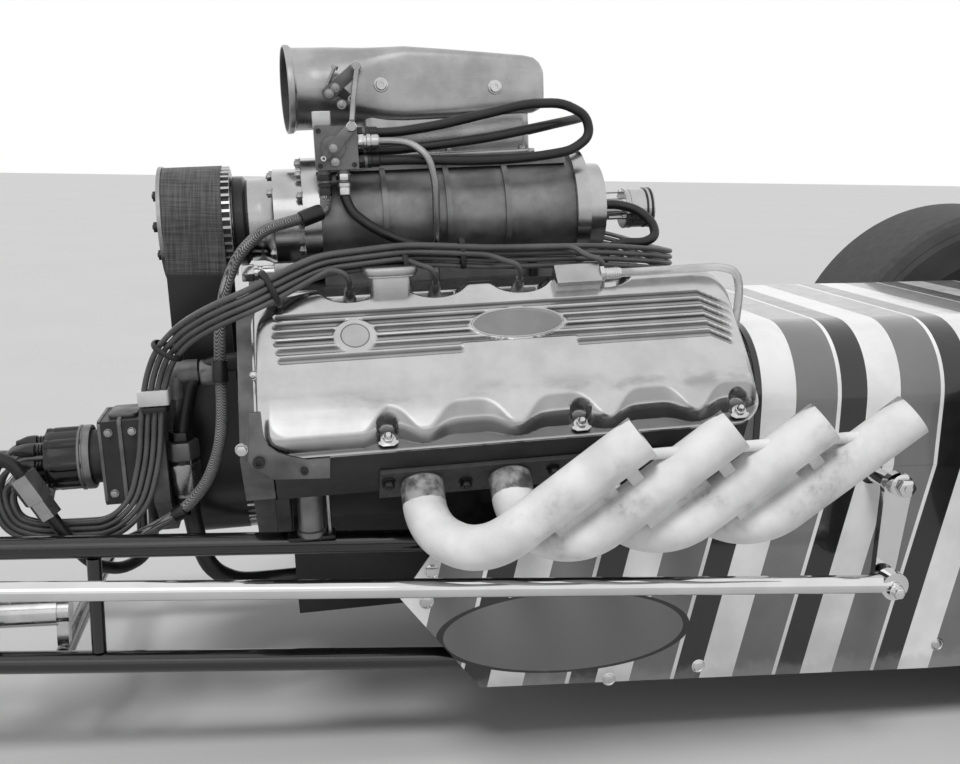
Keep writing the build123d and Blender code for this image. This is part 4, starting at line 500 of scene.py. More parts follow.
NODE_FINISHES: dict[str, Finish] = {
    "accessory_drive": DULL_ALLOY,
    "barrel_valve": DULL_ALLOY,
    "bellhousing_and_driveline": CAST_ALLOY,
    "belly_pan": DULL_ALLOY,
    "blower_belt": BELT,
    "blower_case": CASE_ALLOY,
    "blower_front_cover": POLISHED,
    "blower_rear_cover": POLISHED,
    "body_side_left": BODY_PAINT,
    "body_side_right": BODY_PAINT,
    "braided_hose": BRAID,
    "cowl": BODY_PAINT,
    "cross_tubes": FRAME_BLACK,
    "cylinder_head_left": BLOCK_PAINT,
    "cylinder_head_right": BLOCK_PAINT,
    "drag_link": CHROME,
    "drive_pulleys": STEEL,
    "engine_block": BLOCK_PAINT,
    "engine_hoses": HOSE,
    "engine_plate_and_mounts": DULL_ALLOY,
    "exhaust_headers_left": PIPE_WHITE,
    "exhaust_headers_right": PIPE_WHITE,
    "frame_rails_left": FRAME_BLACK,
    "frame_rails_right": FRAME_BLACK,
    "front_axle": CHROME,
    "front_tyre_left": FRONT_TYRE,
    "front_tyre_right": FRONT_TYRE,
    "front_wheel_left": CHROME,
    "front_wheel_right": CHROME,
    "fuel_tank": POLISHED,
    "hard_lines": STEEL,
    "ignition_wires": WIRE,
    "injector_hat": HAT_ALLOY,
    "intake_manifold": DULL_ALLOY,
    "knuckle_left": CHROME,
    "knuckle_right": CHROME,
    "magneto": DARK_CAST,
    "oil_pan": BLOCK_PAINT,
    "parachute_pack": CANVAS,
    "pitman_arm": CHROME,
    "pressure_cylinder": BRIGHT_STEEL,
    "radius_rods": CHROME,
    "rear_axle_housing": DARK_CAST,
    "rear_axle_shaft": STEEL,
    "rear_wheel_left": MAGNESIUM,
    "rear_wheel_right": MAGNESIUM,
    "roll_cage": FRAME_BLACK,
    "seat": SEAT_SHELL,
    "side_braces_left": FRAME_BLACK,
    "side_braces_right": FRAME_BLACK,
    "slick_left": SLICK,
    "slick_right": SLICK,
    "steering_gear": CAST_ALLOY,
    "steering_wheel": BLACK_PLASTIC,
    "tail_fairing": BODY_PAINT,
    "tie_rod": CHROME,
    "timing_cover": DULL_ALLOY,
    "vent_hose": CLEAR,
}


def dress_nodes() -> None:
    """Gives every part of the frame that stays in view its own finish."""
    for name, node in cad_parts.items():
        if name not in NODE_FINISHES:
            continue
        material = NODE_FINISHES[name].material()
        if not node.material_slots:
            node.data.materials.append(material)
        for slot in node.material_slots:
            slot.material = material


class Bench:
    """Modelling moves the sub-assemblies share; shapes are in millimetres until placed."""

    @staticmethod
    def clear() -> None:
        """Leaves edit mode and deselects everything."""
        active = bpy.context.view_layer.objects.active
        if active and active.mode != "OBJECT":
            bpy.ops.object.mode_set(mode="OBJECT")
        bpy.ops.object.select_all(action="DESELECT")

    @staticmethod
    def pick(*pieces: bpy.types.Object) -> None:
        """Selects these pieces alone, the first one active."""
        Bench.clear()
        for piece in pieces:
            piece.select_set(True)
        bpy.context.view_layer.objects.active = pieces[0]

    @staticmethod
    @contextmanager
    def editing(piece: bpy.types.Object) -> Iterator[None]:
        """Edit mode on one piece with all of it selected."""
        Bench.pick(piece)
        bpy.ops.object.mode_set(mode="EDIT")
        bpy.ops.mesh.select_all(action="SELECT")
        yield
        bpy.ops.object.mode_set(mode="OBJECT")

    @staticmethod
    def drawn(name: str, points: Sequence[Sequence[float]], edges: Sequence = (), faces: Sequence = ()) -> bpy.types.Object:
        """A piece from points with edges or faces."""
        mesh = bpy.data.meshes.new(name)
        mesh.from_pydata([tuple(p) for p in points], list(edges), list(faces))
        piece = bpy.data.objects.new(name, mesh)
        bpy.context.scene.collection.objects.link(piece)
        return piece

    @staticmethod
    def turned(name: str, profile: Sequence[tuple[float, float]], steps: int = 40) -> bpy.types.Object:
        """Spins a profile of radius and height about z."""
        points = [(radius, 0, height) for radius, height in profile]
        piece = Bench.drawn(name, points, [(i, i + 1) for i in range(len(points) - 1)])
        with Bench.editing(piece):
            bpy.ops.mesh.spin(steps=steps, angle=math.tau, center=(0, 0, 0), axis=(0, 0, 1))
            bpy.ops.mesh.select_all(action="SELECT")
            bpy.ops.mesh.remove_doubles(threshold=0.0005)
            bpy.ops.mesh.normals_make_consistent(inside=False)
        return piece

    @staticmethod
    def prism(name: str, outline: Outline, height: float, bevel: float = 1.0, segments: int = 2) -> bpy.types.Object:
        """Draws an outline, extrudes it along z and rounds its edges."""
        piece = Bench.drawn(name, [(x, y, 0) for x, y in outline], (), [tuple(range(len(outline)))])
        with Bench.editing(piece):
            bpy.ops.mesh.extrude_region_move(TRANSFORM_OT_translate={"value": (0, 0, height)})
            bpy.ops.mesh.select_all(action="SELECT")
            bpy.ops.mesh.normals_make_consistent(inside=False)
        if bevel:
            Bench.rounded(piece, bevel, segments)
        return piece

    @staticmethod
    def rounded(piece: bpy.types.Object, width: float, segments: int = 2) -> None:
        """Bevels the sharp edges and applies it."""
        Bench.pick(piece)
        bevel = piece.modifiers.new("edges", "BEVEL")
        bevel.width = width
        bevel.segments = segments
        bevel.limit_method = "ANGLE"
        bevel.angle_limit = math.radians(38)
        bpy.ops.object.modifier_apply(modifier=bevel.name)

    @staticmethod
    def hexagon(name: str, width: float, height: float, bevel: float = 0.8) -> bpy.types.Object:
        """A hexagonal bar end, width across its flats."""
        radius = width / math.sqrt(3)
        outline = [(radius * math.cos(k * math.pi / 3), radius * math.sin(k * math.pi / 3)) for k in range(6)]
        return Bench.prism(name, outline, height, bevel)

    @staticmethod
    def cable(name: str, points: Sequence[Sequence[float]], radius: float, sides: int = 5, order: int = 3) -> bpy.types.Object:
        """A round rod or wire on a smooth line through its control points."""
        curve = bpy.data.curves.new(name, "CURVE")
        curve.dimensions = "3D"
        curve.bevel_depth = radius
        curve.bevel_resolution = sides
        curve.use_fill_caps = True
        curve.resolution_u = 8
        line = curve.splines.new("NURBS")
        line.points.add(len(points) - 1)
        for point, place in zip(line.points, points):
            point.co = (*place, 1)
        line.order_u = min(order, len(points))
        line.use_endpoint_u = True
        piece = bpy.data.objects.new(name, curve)
        bpy.context.scene.collection.objects.link(piece)
        Bench.pick(piece)
        bpy.ops.object.convert(target="MESH")
        return bpy.context.view_layer.objects.active

    @staticmethod
    def place(piece: bpy.types.Object, matrix: Matrix) -> bpy.types.Object:
        """Moves the mesh itself, and turns its faces back out after a mirror."""
        piece.data.transform(matrix)
        if matrix.determinant() < 0:
            piece.data.flip_normals()
        piece.data.update()
        return piece

    @staticmethod
    def copies(piece: bpy.types.Object, places: Sequence[Matrix]) -> list[bpy.types.Object]:
        """The piece at every place, each with its own mesh; the first is the piece itself."""
        made = [piece]
        for number in range(1, len(places)):
            twin = piece.copy()
            twin.data = piece.data.copy()
            bpy.context.scene.collection.objects.link(twin)
            made.append(twin)
        for each, place in zip(made, places):
            Bench.place(each, place)
        return made

    @staticmethod
    def coat(piece: bpy.types.Object, finish: Finish) -> bpy.types.Object:
        """Gives the piece one finish."""
        piece.data.materials.clear()
        piece.data.materials.append(finish.material())
        return piece

    @staticmethod
    def join(name: str, pieces: Sequence[bpy.types.Object]) -> bpy.types.Object:
        """Joins pieces into one, which keeps their finishes."""
        Bench.pick(*pieces)
        if len(pieces) > 1:
            bpy.ops.object.join()
        piece = bpy.context.view_layer.objects.active
        piece.name = name
        piece.data.name = name
        return piece

    @staticmethod
    def fit(piece: bpy.types.Object, body: str, slot: str, angle: float = 35) -> bpy.types.Object:
        """Smooths the piece and lets it ride on a body."""
        Bench.pick(piece)
        bpy.ops.object.shade_smooth_by_angle(angle=math.radians(angle))
        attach(piece, body)
        LOG.info("%s: %d faces on %s", piece.name, len(piece.data.polygons), body)
        return piece


def rounded_outline(length: float, width: float, radius: float, steps: int = 6) -> Outline:
    """A rectangle with round corners about the origin."""
    points: Outline = []
    for quarter, (sx, sy) in enumerate(((1, 1), (-1, 1), (-1, -1), (1, -1))):
        for step in range(steps + 1):
            angle = math.pi / 2 * (quarter + step / steps)
            cx = sx * (length / 2 - radius)
            cy = sy * (width / 2 - radius)
            points.append((cx + radius * math.cos(angle), cy + radius * math.sin(angle)))
    return points


def round_outline(radius_x: float, radius_y: float, steps: int = 40) -> Outline:
    """An ellipse about the origin."""
    turns = [math.tau * step / steps for step in range(steps)]
    return [(radius_x * math.cos(turn), radius_y * math.sin(turn)) for turn in turns]


def ellipse_band(name: str, middle: tuple[float, float], radii: tuple[float, float], half: float,
                 heights: tuple[float, float], steps: int = 72) -> bpy.types.Object:
    """A raised line of even width round an ellipse.

    Args:
        name: The piece's name.
        middle: The ellipse's middle.
        radii: Its two radii, to the line's middle.
        half: Half the line's width.
        heights: Where the line stands and where its top is.
        steps: Points round the ellipse.

    Returns:
        The new piece.
    """
    low, high = heights
    section = ((-half, low), (-half, high - half * 0.5), (-half * 0.5, high), (half * 0.5, high), (half, high - half * 0.5),
               (half, low))
    points = []
    for step in range(steps):
        turn = math.tau * step / steps
        normal = Vector((math.cos(turn) / radii[0], math.sin(turn) / radii[1], 0)).normalized()
        place = Vector((middle[0] + radii[0] * math.cos(turn), middle[1] + radii[1] * math.sin(turn), 0))
        points += [(*(place + normal * out).xy, height) for out, height in section]
    count = len(section)
    faces = []
    for step in range(steps):
        first, after = step * count, (step + 1) % steps * count
        for side in range(count):
            near = (side + 1) % count
            faces.append((first + side, after + side, after + near, first + near))
    band = Bench.drawn(name, points, (), faces)
    with Bench.editing(band):
        bpy.ops.mesh.normals_make_consistent(inside=False)
    return band


def smooth(value: np.ndarray) -> np.ndarray:
    """Eases from 0 to 1."""
    clipped = np.clip(value, 0, 1)
    return clipped * clipped * (3 - 2 * clipped)


def window(value: np.ndarray, low: float, high: float, soft: float) -> np.ndarray:
    """One from low to high, easing over soft at each end."""
    return smooth((value - low) / soft + 0.5) * (1 - smooth((value - high) / soft + 0.5))


@dataclass
class Hardware:
    """Nuts, bolts and washers, modelled once for each size."""

    def acorn(self, name: str, width: float) -> bpy.types.Object:
        """A domed nut on its washer."""
        flats = Bench.hexagon(name, width, width * 0.55, width * 0.06)
        half = width / 2
        dome = Bench.turned(name + "_dome", [(half * 0.86, width * 0.5), (half * 0.8, width * 0.75),
                                             (half * 0.5, width * 0.95), (0, width)], 20)
        washer = Bench.turned(name + "_washer", [(0, -1), (half * 1.5, -1), (half * 1.55, 0.2), (half * 1.3, 0.9),
                                                 (0, 1)], 24)
        return Bench.join(name, [Bench.coat(part, BRIGHT_STEEL) for part in (flats, dome, washer)])

    def bolt(self, name: str, width: float, finish: Finish) -> bpy.types.Object:
        """A bolt head with its chamfer and washer."""
        head = Bench.hexagon(name, width, width * 0.62, width * 0.07)
        half = width / 2
        washer = Bench.turned(name + "_washer", [(0, -0.8), (half * 1.35, -0.8), (half * 1.4, 0.2), (half * 1.3, 0.9),
                                                 (0, 1)], 24)
        end = Bench.turned(name + "_end", [(half * 0.5, width * 0.6), (half * 0.48, width * 0.72), (0, width * 0.76)], 16)
        return Bench.join(name, [Bench.coat(part, finish) for part in (head, washer, end)])

    def cap_screw(self, name: str, width: float, finish: Finish) -> bpy.types.Object:
        """A round screw head with a recess."""
        half = width / 2
        profile = [(0, -0.5), (half, -0.5), (half, width * 0.42), (half * 0.9, width * 0.5),
                   (half * 0.5, width * 0.5), (half * 0.45, width * 0.22), (0, width * 0.2)]
        return Bench.coat(Bench.turned(name, profile, 20), finish)

    def row(self, name: str, template: bpy.types.Object, places: Sequence[Matrix]) -> bpy.types.Object:
        """A template at many places, joined."""
        return Bench.join(name, Bench.copies(template, places))


@dataclass
class CamCover:
    """A cam cover: polished crown with ribs, oval, boss, lobed lower wall and its breather."""

    side: Side
    front: float = -205
    rear: float = 458
    inner: float = -62
    outer: float = 180
    base: float = 366
    top: float = 405
    corner: float = 42
    foot_top: float = 370.9
    bead_top: float = 370.7
    edge: float = 20
    edge_drop: float = 17
    groove_first: float = -9.2
    groove_pitch: float = 13.7
    grooves: int = 6
    groove_half: float = 4.7
    groove_depth: float = 3.4
    field_start: float = -176
    field_end: float = 446
    bend: float = 407
    boss: tuple[float, float, float] = (-73, 26, 25)
    oval: tuple[float, float, float, float] = (145.5, 21, 63.5, 25)
    rim: float = 3
    ring: float = 18.5
    plate: tuple[float, float, float, float] = (66, 221, 48, 66)
    lobe_middle: float = 5
    lobe_pitch: float = 120
    lobe_reach: float = 165
    bay_reach: float = 131
    wall_slope: float = 0.22
    foot_slope: float = 0.75
    nuts: tuple[float, ...] = (-43, 209, 426)
    plugs: tuple[float, ...] = (-74, 43.6, 161.2, 278.8)
    plug_s: float = -58
    breather_y: float = 246
    columns: int = 310
    rows: int = 230
    hardware: Hardware = field(default_factory=Hardware)

    def inside(self, x: np.ndarray, s: np.ndarray) -> np.ndarray:
        """How far each point lies inside the rounded outline."""
        middle_x, middle_s = (self.front + self.rear) / 2, (self.inner + self.outer) / 2
        qx = np.abs(x - middle_x) - ((self.rear - self.front) / 2 - self.corner)
        qs = np.abs(s - middle_s) - ((self.outer - self.inner) / 2 - self.corner)
        out = np.hypot(np.maximum(qx, 0), np.maximum(qs, 0)) + np.minimum(np.maximum(qx, qs), 0)
        return self.corner - out

    def grooved(self, x: np.ndarray, s: np.ndarray) -> tuple[np.ndarray, np.ndarray]:
        """How deep the grooves between the ribs go at each point, and how dark they are.

        Args:
            x: Each point's x in the bank.
            s: Each point's s in the bank.

        Returns:
            The depth and the darkness, both from 0 to 1: the cast tone of each groove's floor, and painted shade that
            is darkest on the wall under a rib.
        """
        shift = 0.55 * np.maximum(x - self.bend, 0)
        depth, dark = np.zeros_like(x), np.zeros_like(x)
        for number in range(self.grooves):
            across = s - self.groove_first - number * self.groove_pitch - shift
            start = self.field_start + 2 * abs(number - 2)
            over = np.maximum(np.maximum(start - x, x - self.field_end + 3 * number), 0)
            here = smooth((self.groove_half - np.hypot(over, across)) / 1.9 + 0.5)
            depth = np.maximum(depth, here * (0.72 - 0.28 * across / self.groove_half))
            # Painted shade: each groove darkens towards the rib above it, over the floor's cast tone.
            dark = np.maximum(dark, here * (0.34 + 0.50 * smooth(0.25 - across / self.groove_half)))
        bx, bs, br = self.boss
        keep = smooth((np.hypot(x - bx, (s - bs) * 1.05) - br - 2) / 3)
        cx, cs, rx, rs = self.oval
        keep *= smooth((np.hypot((x - cx) / (rx + 2), (s - cs) / (rs + 1)) - 1) * 30)
        low, high, near, far = self.plate
        keep *= 1 - window(x, low, high, 4) * window(s, near, far + 6, 3)
        keep *= 1 - smooth((x - self.field_end + 20) / 30) * 0.8
        return depth * keep, dark * keep

    def crown(self, x: np.ndarray, s: np.ndarray) -> tuple[np.ndarray, np.ndarray]:
        """The skin over the plan.

        Args:
            x: Each point's x in the bank.
            s: Each point's s in the bank.

        Returns:
            The height at each point, and how dark it is painted there, from 0 to 1: cast tone in the grooves, painted
            shade and dark reflection on the lower wall and in the nut pockets, and lighter on a painted highlight along
            the ledge.
        """
        lobe = (0.5 + 0.5 * np.cos(math.tau * (x - self.lobe_middle) / self.lobe_pitch)) ** 2.4
        lobe = np.maximum(lobe, 1 - smooth((x + 78) / 40))
        reach = self.bay_reach + (self.lobe_reach - self.bay_reach) * lobe
        ledge = reach + 22 - 18 * lobe
        height = self.top - np.maximum(s - 66, 0) ** 2 / 660
        height -= self.wall_slope * np.maximum(s - reach, 0)
        height -= self.foot_slope * np.maximum(s - ledge, 0)
        height -= 0.09 * np.maximum(x - self.bend, 0)
        # Painted dark reflection and shade on the wall below the bays, darker under the ledge, with a painted highlight
        # line along the ledge.
        below, under = smooth((s - reach) / 5), smooth((s - ledge - 2) / 4)
        line = np.exp(-(((s - ledge) / 2.2) ** 2))
        cast_and_painted_shade = (0.40 * below + 0.26 * under) * (1 - 0.9 * line)
        for nut in self.nuts:
            pocket = window(x, nut - 12, nut + 12, 5) * smooth((s - 140 - 0.05 * (x - nut) ** 2) / 8)
            height = height * (1 - pocket) + 374.5 * pocket
            # Painted shade deep in each nut pocket.
            cast_and_painted_shade = np.maximum(cast_and_painted_shade, pocket * (0.45 + 0.45 * smooth((s - 148) / 12)))
        groove, dark = self.grooved(x, s)
        height -= self.groove_depth * groove
        cx, cs, rx, rs = self.oval
        height -= 1.2 * smooth((0.93 - np.hypot((x - cx) / rx, (s - cs) / rs)) * 12)
        cast_and_painted_shade = np.clip(np.maximum(cast_and_painted_shade, dark), 0, 1)
        depth = np.clip(self.inside(x, s) / self.edge, 0, 1)
        height -= self.edge_drop * (1 - np.sqrt(np.maximum(1 - (1 - depth) ** 2, 0)))
        for plug in self.plugs:
            away = np.hypot((x - plug) / 1.4, (s - self.plug_s) * 1.05)
            height = 371 + (height - 371) * smooth((away - 19) / 13)
        return np.maximum(height, 371), cast_and_painted_shade

    def skin(self) -> bpy.types.Object:
        """A dense grid laid to the outline and raised to the crown, with its skirt and bead."""
        Bench.clear()
        bpy.ops.mesh.primitive_grid_add(x_subdivisions=self.columns, y_subdivisions=self.rows, size=1)
        piece = bpy.context.view_layer.objects.active
        count = len(piece.data.vertices)
        flat = np.zeros(count * 3)
        piece.data.vertices.foreach_get("co", flat)
        u, v = flat[0::3] + 0.5, flat[1::3] + 0.5
        u = u - 0.3 * np.sin(math.tau * u) / math.tau
        v = v - 0.3 * np.sin(math.tau * v) / math.tau
        s = self.inner + (self.outer - self.inner) * v
        near = np.minimum(np.minimum(s - self.inner, self.outer - s), self.corner)
        cut = self.corner - np.sqrt(self.corner**2 - (self.corner - near) ** 2)
        x = self.front + cut + (self.rear - self.front - 2 * cut) * u
        height, cast_and_painted_shade = self.crown(x, s)
        piece.data.vertices.foreach_set("co", np.stack([x, s, height], 1).ravel())
        # The points carry cast tone with painted shade, dark reflection and a highlight line for the finish.
        marks = piece.data.attributes.new("cast_and_painted_shade", "FLOAT", "POINT")
        marks.data.foreach_set("value", cast_and_painted_shade.astype(np.float32))
        self.skirt(piece)
        return Bench.coat(piece, COVER_SKIN)

    def skirt(self, piece: bpy.types.Object) -> None:
        """Extrudes the rim down to the head, with a thin bead at its foot."""
        middle = Vector(((self.front + self.rear) / 2, (self.inner + self.outer) / 2, 0))
        span = Vector((self.rear - self.front, self.outer - self.inner, 1))
        with Bench.editing(piece):
            bpy.ops.mesh.select_all(action="DESELECT")
            bpy.ops.mesh.select_mode(type="EDGE")
            bpy.ops.mesh.select_non_manifold(extend=False)
            for height, proud in ((self.foot_top, 0), (self.bead_top, 7), (self.base, 7)):
                bpy.ops.mesh.extrude_region_move(TRANSFORM_OT_translate={"value": (0, 0, -1)})
                bpy.ops.object.mode_set(mode="OBJECT")
                for vertex in piece.data.vertices:
                    if vertex.select:
                        scale = Vector(((span.x + proud) / span.x, (span.y + proud) / span.y, 1))
                        if height == self.bead_top:
                            vertex.co = middle + (vertex.co - middle) * scale
                        vertex.co.z = height
                bpy.ops.object.mode_set(mode="EDIT")
            bpy.ops.mesh.select_all(action="SELECT")
            bpy.ops.mesh.normals_make_consistent(inside=False)
        marks = piece.data.attributes["cast_and_painted_shade"].data
        for vertex in piece.data.vertices:
            if vertex.co.z < self.bead_top + 0.1:
                marks[vertex.index].value = 0.0

    def breather(self) -> list[bpy.types.Object]:
        """The filler: a rounded box with an overhanging lid, both upright in the engine."""
        stem = Bench.prism("breather_stem", rounded_outline(57, 40, 13, 8), 54, 1.5)
        lid = Bench.prism("breather_lid", rounded_outline(75, 54, 20, 8), 12, 4.6, 4)
        bead = Bench.prism("breather_bead", rounded_outline(70, 50, 18, 8), 2.4, 0.8)
        made = []
        for part, height in ((stem, 289), (lid, 338.4), (bead, 336.6)):
            turn = Matrix.Rotation(math.radians(45), 4, "X")
            spot = ((self.breather_y - height) * math.sqrt(0.5), (self.breather_y + height) * math.sqrt(0.5))
            Bench.place(part, Matrix.Translation((-19, *spot)) @ turn)
            made.append(Bench.coat(part, HAT_ALLOY))
        return made

    def vent(self) -> list[bpy.types.Object]:
        """The vent box with its threaded spigot, on the left cover alone."""
        if self.side is Side.RIGHT:
            return []
        box = Bench.prism("vent_box", rounded_outline(64, 32, 3), 20, 1.6)
        Bench.place(box, Matrix.Translation((238, -42, 404)))
        collar = Bench.hexagon("vent_collar", 20, 6)
        rings = [(0, 0), (9.4, 0)]
        for ring in range(9):
            rings += [(9.6, ring * 3 + 1.6), (8.2, ring * 3 + 2.4)]
        spigot = Bench.turned("vent_spigot", [*rings, (7.2, 30), (0, 31)], 24)
        start = along((269, -42, 418), (300, -42, 418))
        for part in (collar, spigot):
            Bench.place(part, start)
        finished = ((box, HAT_ALLOY), (collar, BRIGHT_STEEL), (spigot, BRIGHT_STEEL))
        return [Bench.coat(part, finish) for part, finish in finished]

    def raised_rings(self) -> list[bpy.types.Object]:
        """The oval's rim and the fine ring on the boss."""
        x, s, across_x, across_s = self.oval
        bx, bs, _ = self.boss
        half = self.rim / 2
        rim = ellipse_band("oval_rim", (x, s), (across_x - half, across_s - half), half, (self.top - 3, self.top + 1))
        ring = ellipse_band("boss_ring", (bx, bs), (self.ring, self.ring), 0.8, (self.top - 2, self.top + 0.5))
        return [Bench.coat(rim, POLISHED), Bench.coat(ring, CASE_ALLOY)]

    def nut_places(self) -> list[Matrix]:
        """Where the cover's domed nuts stand."""
        lower = [Matrix.Translation((x, 169, 376)) for x in self.nuts]
        front = along((self.front + 5, 68, 386), (self.front - 14, 68, 402))
        return [*lower, front]

    def ears(self) -> list[bpy.types.Object]:
        """The small bright tabs under the lower nuts."""
        outline = [(-13, 1), (-7, 5), (7, 5), (13, 1), (13, -2), (6, -5), (-6, -5), (-13, -2)]
        ear = Bench.coat(Bench.prism("cover_ear", outline, 2.6, 0.7), BRIGHT_STEEL)
        return Bench.copies(ear, [Matrix.Translation((x, 174, 374)) for x in self.nuts])

    def boots(self) -> list[bpy.types.Object]:
        """Sleeves where the wires reach the plugs."""
        profile = [(0, 0), (9, 0), (9.5, 4), (8, 8), (8, 20), (6.5, 25), (4.4, 30), (0, 30.5)]
        boot = Bench.coat(Bench.turned("plug_boot", profile, 20), HAT_ALLOY)
        return Bench.copies(boot, [Matrix.Translation((x, -57, 371)) for x in self.plugs])

    def build(self) -> bpy.types.Object:
        """Builds the cover and all that stands on it, and lets it stand for the part's own."""
        nuts = Bench.copies(self.hardware.acorn("cover_nut", 13), self.nut_places())
        parts = [self.skin(), *self.raised_rings(), *self.breather(), *self.vent(), *nuts, *self.ears(), *self.boots()]
        name = self.side.name.lower()
        cover = Bench.place(Bench.join(f"cam_cover_{name}_dressed", parts), bank_frame(self.side))
        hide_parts(f"cam_cover_{name}")
        return Bench.fit(cover, CHASSIS, "polished_metal", 40)


def link_outline(length: float, first: float, second: float, steps: int = 10) -> Outline:
    """A flat link from the origin along x, with round ends of two radii."""
    points: Outline = []
    for centre, radius, start in ((length, second, -90), (0, first, 90)):
        for step in range(steps + 1):
            turn = math.radians(start + 180 * step / steps)
            points.append((centre + radius * math.cos(turn), radius * math.sin(turn)))
    return points


def facing(start: Sequence[float], end: Sequence[float], normal: Sequence[float]) -> Matrix:
    """A frame at start with x towards end and z near the normal."""
    run = (Vector(end) - Vector(start)).normalized()
    out = (Vector(normal) - run * run.dot(Vector(normal))).normalized()
    turn = Matrix((run, out.cross(run), out)).transposed().to_4x4()
    return Matrix.Translation(start) @ turn


def lever(name: str, start: Sequence[float], end: Sequence[float], radii: tuple[float, float], thick: float,
          finish: Finish) -> bpy.types.Object:
    """A flat arm between two pivots, facing the left of the car, with a raised eye at its end."""
    length = (Vector(end) - Vector(start)).length
    arm = Bench.coat(Bench.prism(name, link_outline(length, *radii), thick, 0.7), finish)
    far = radii[1]
    profile = [(far * 0.4, 0), (far * 0.95, 0), (far * 1.05, 1.5), (far * 1.05, thick + 1.5), (far * 0.9, thick + 2.5),
               (far * 0.5, thick + 2.5), (far * 0.4, 0)]
    eye = Bench.coat(Bench.turned(name + "_eye", profile, 28), BRIGHT_STEEL)
    Bench.place(eye, Matrix.Translation((length, 0, 0)))
    return Bench.place(Bench.join(name, [arm, eye]), facing(start, end, (0, -1, 0)))


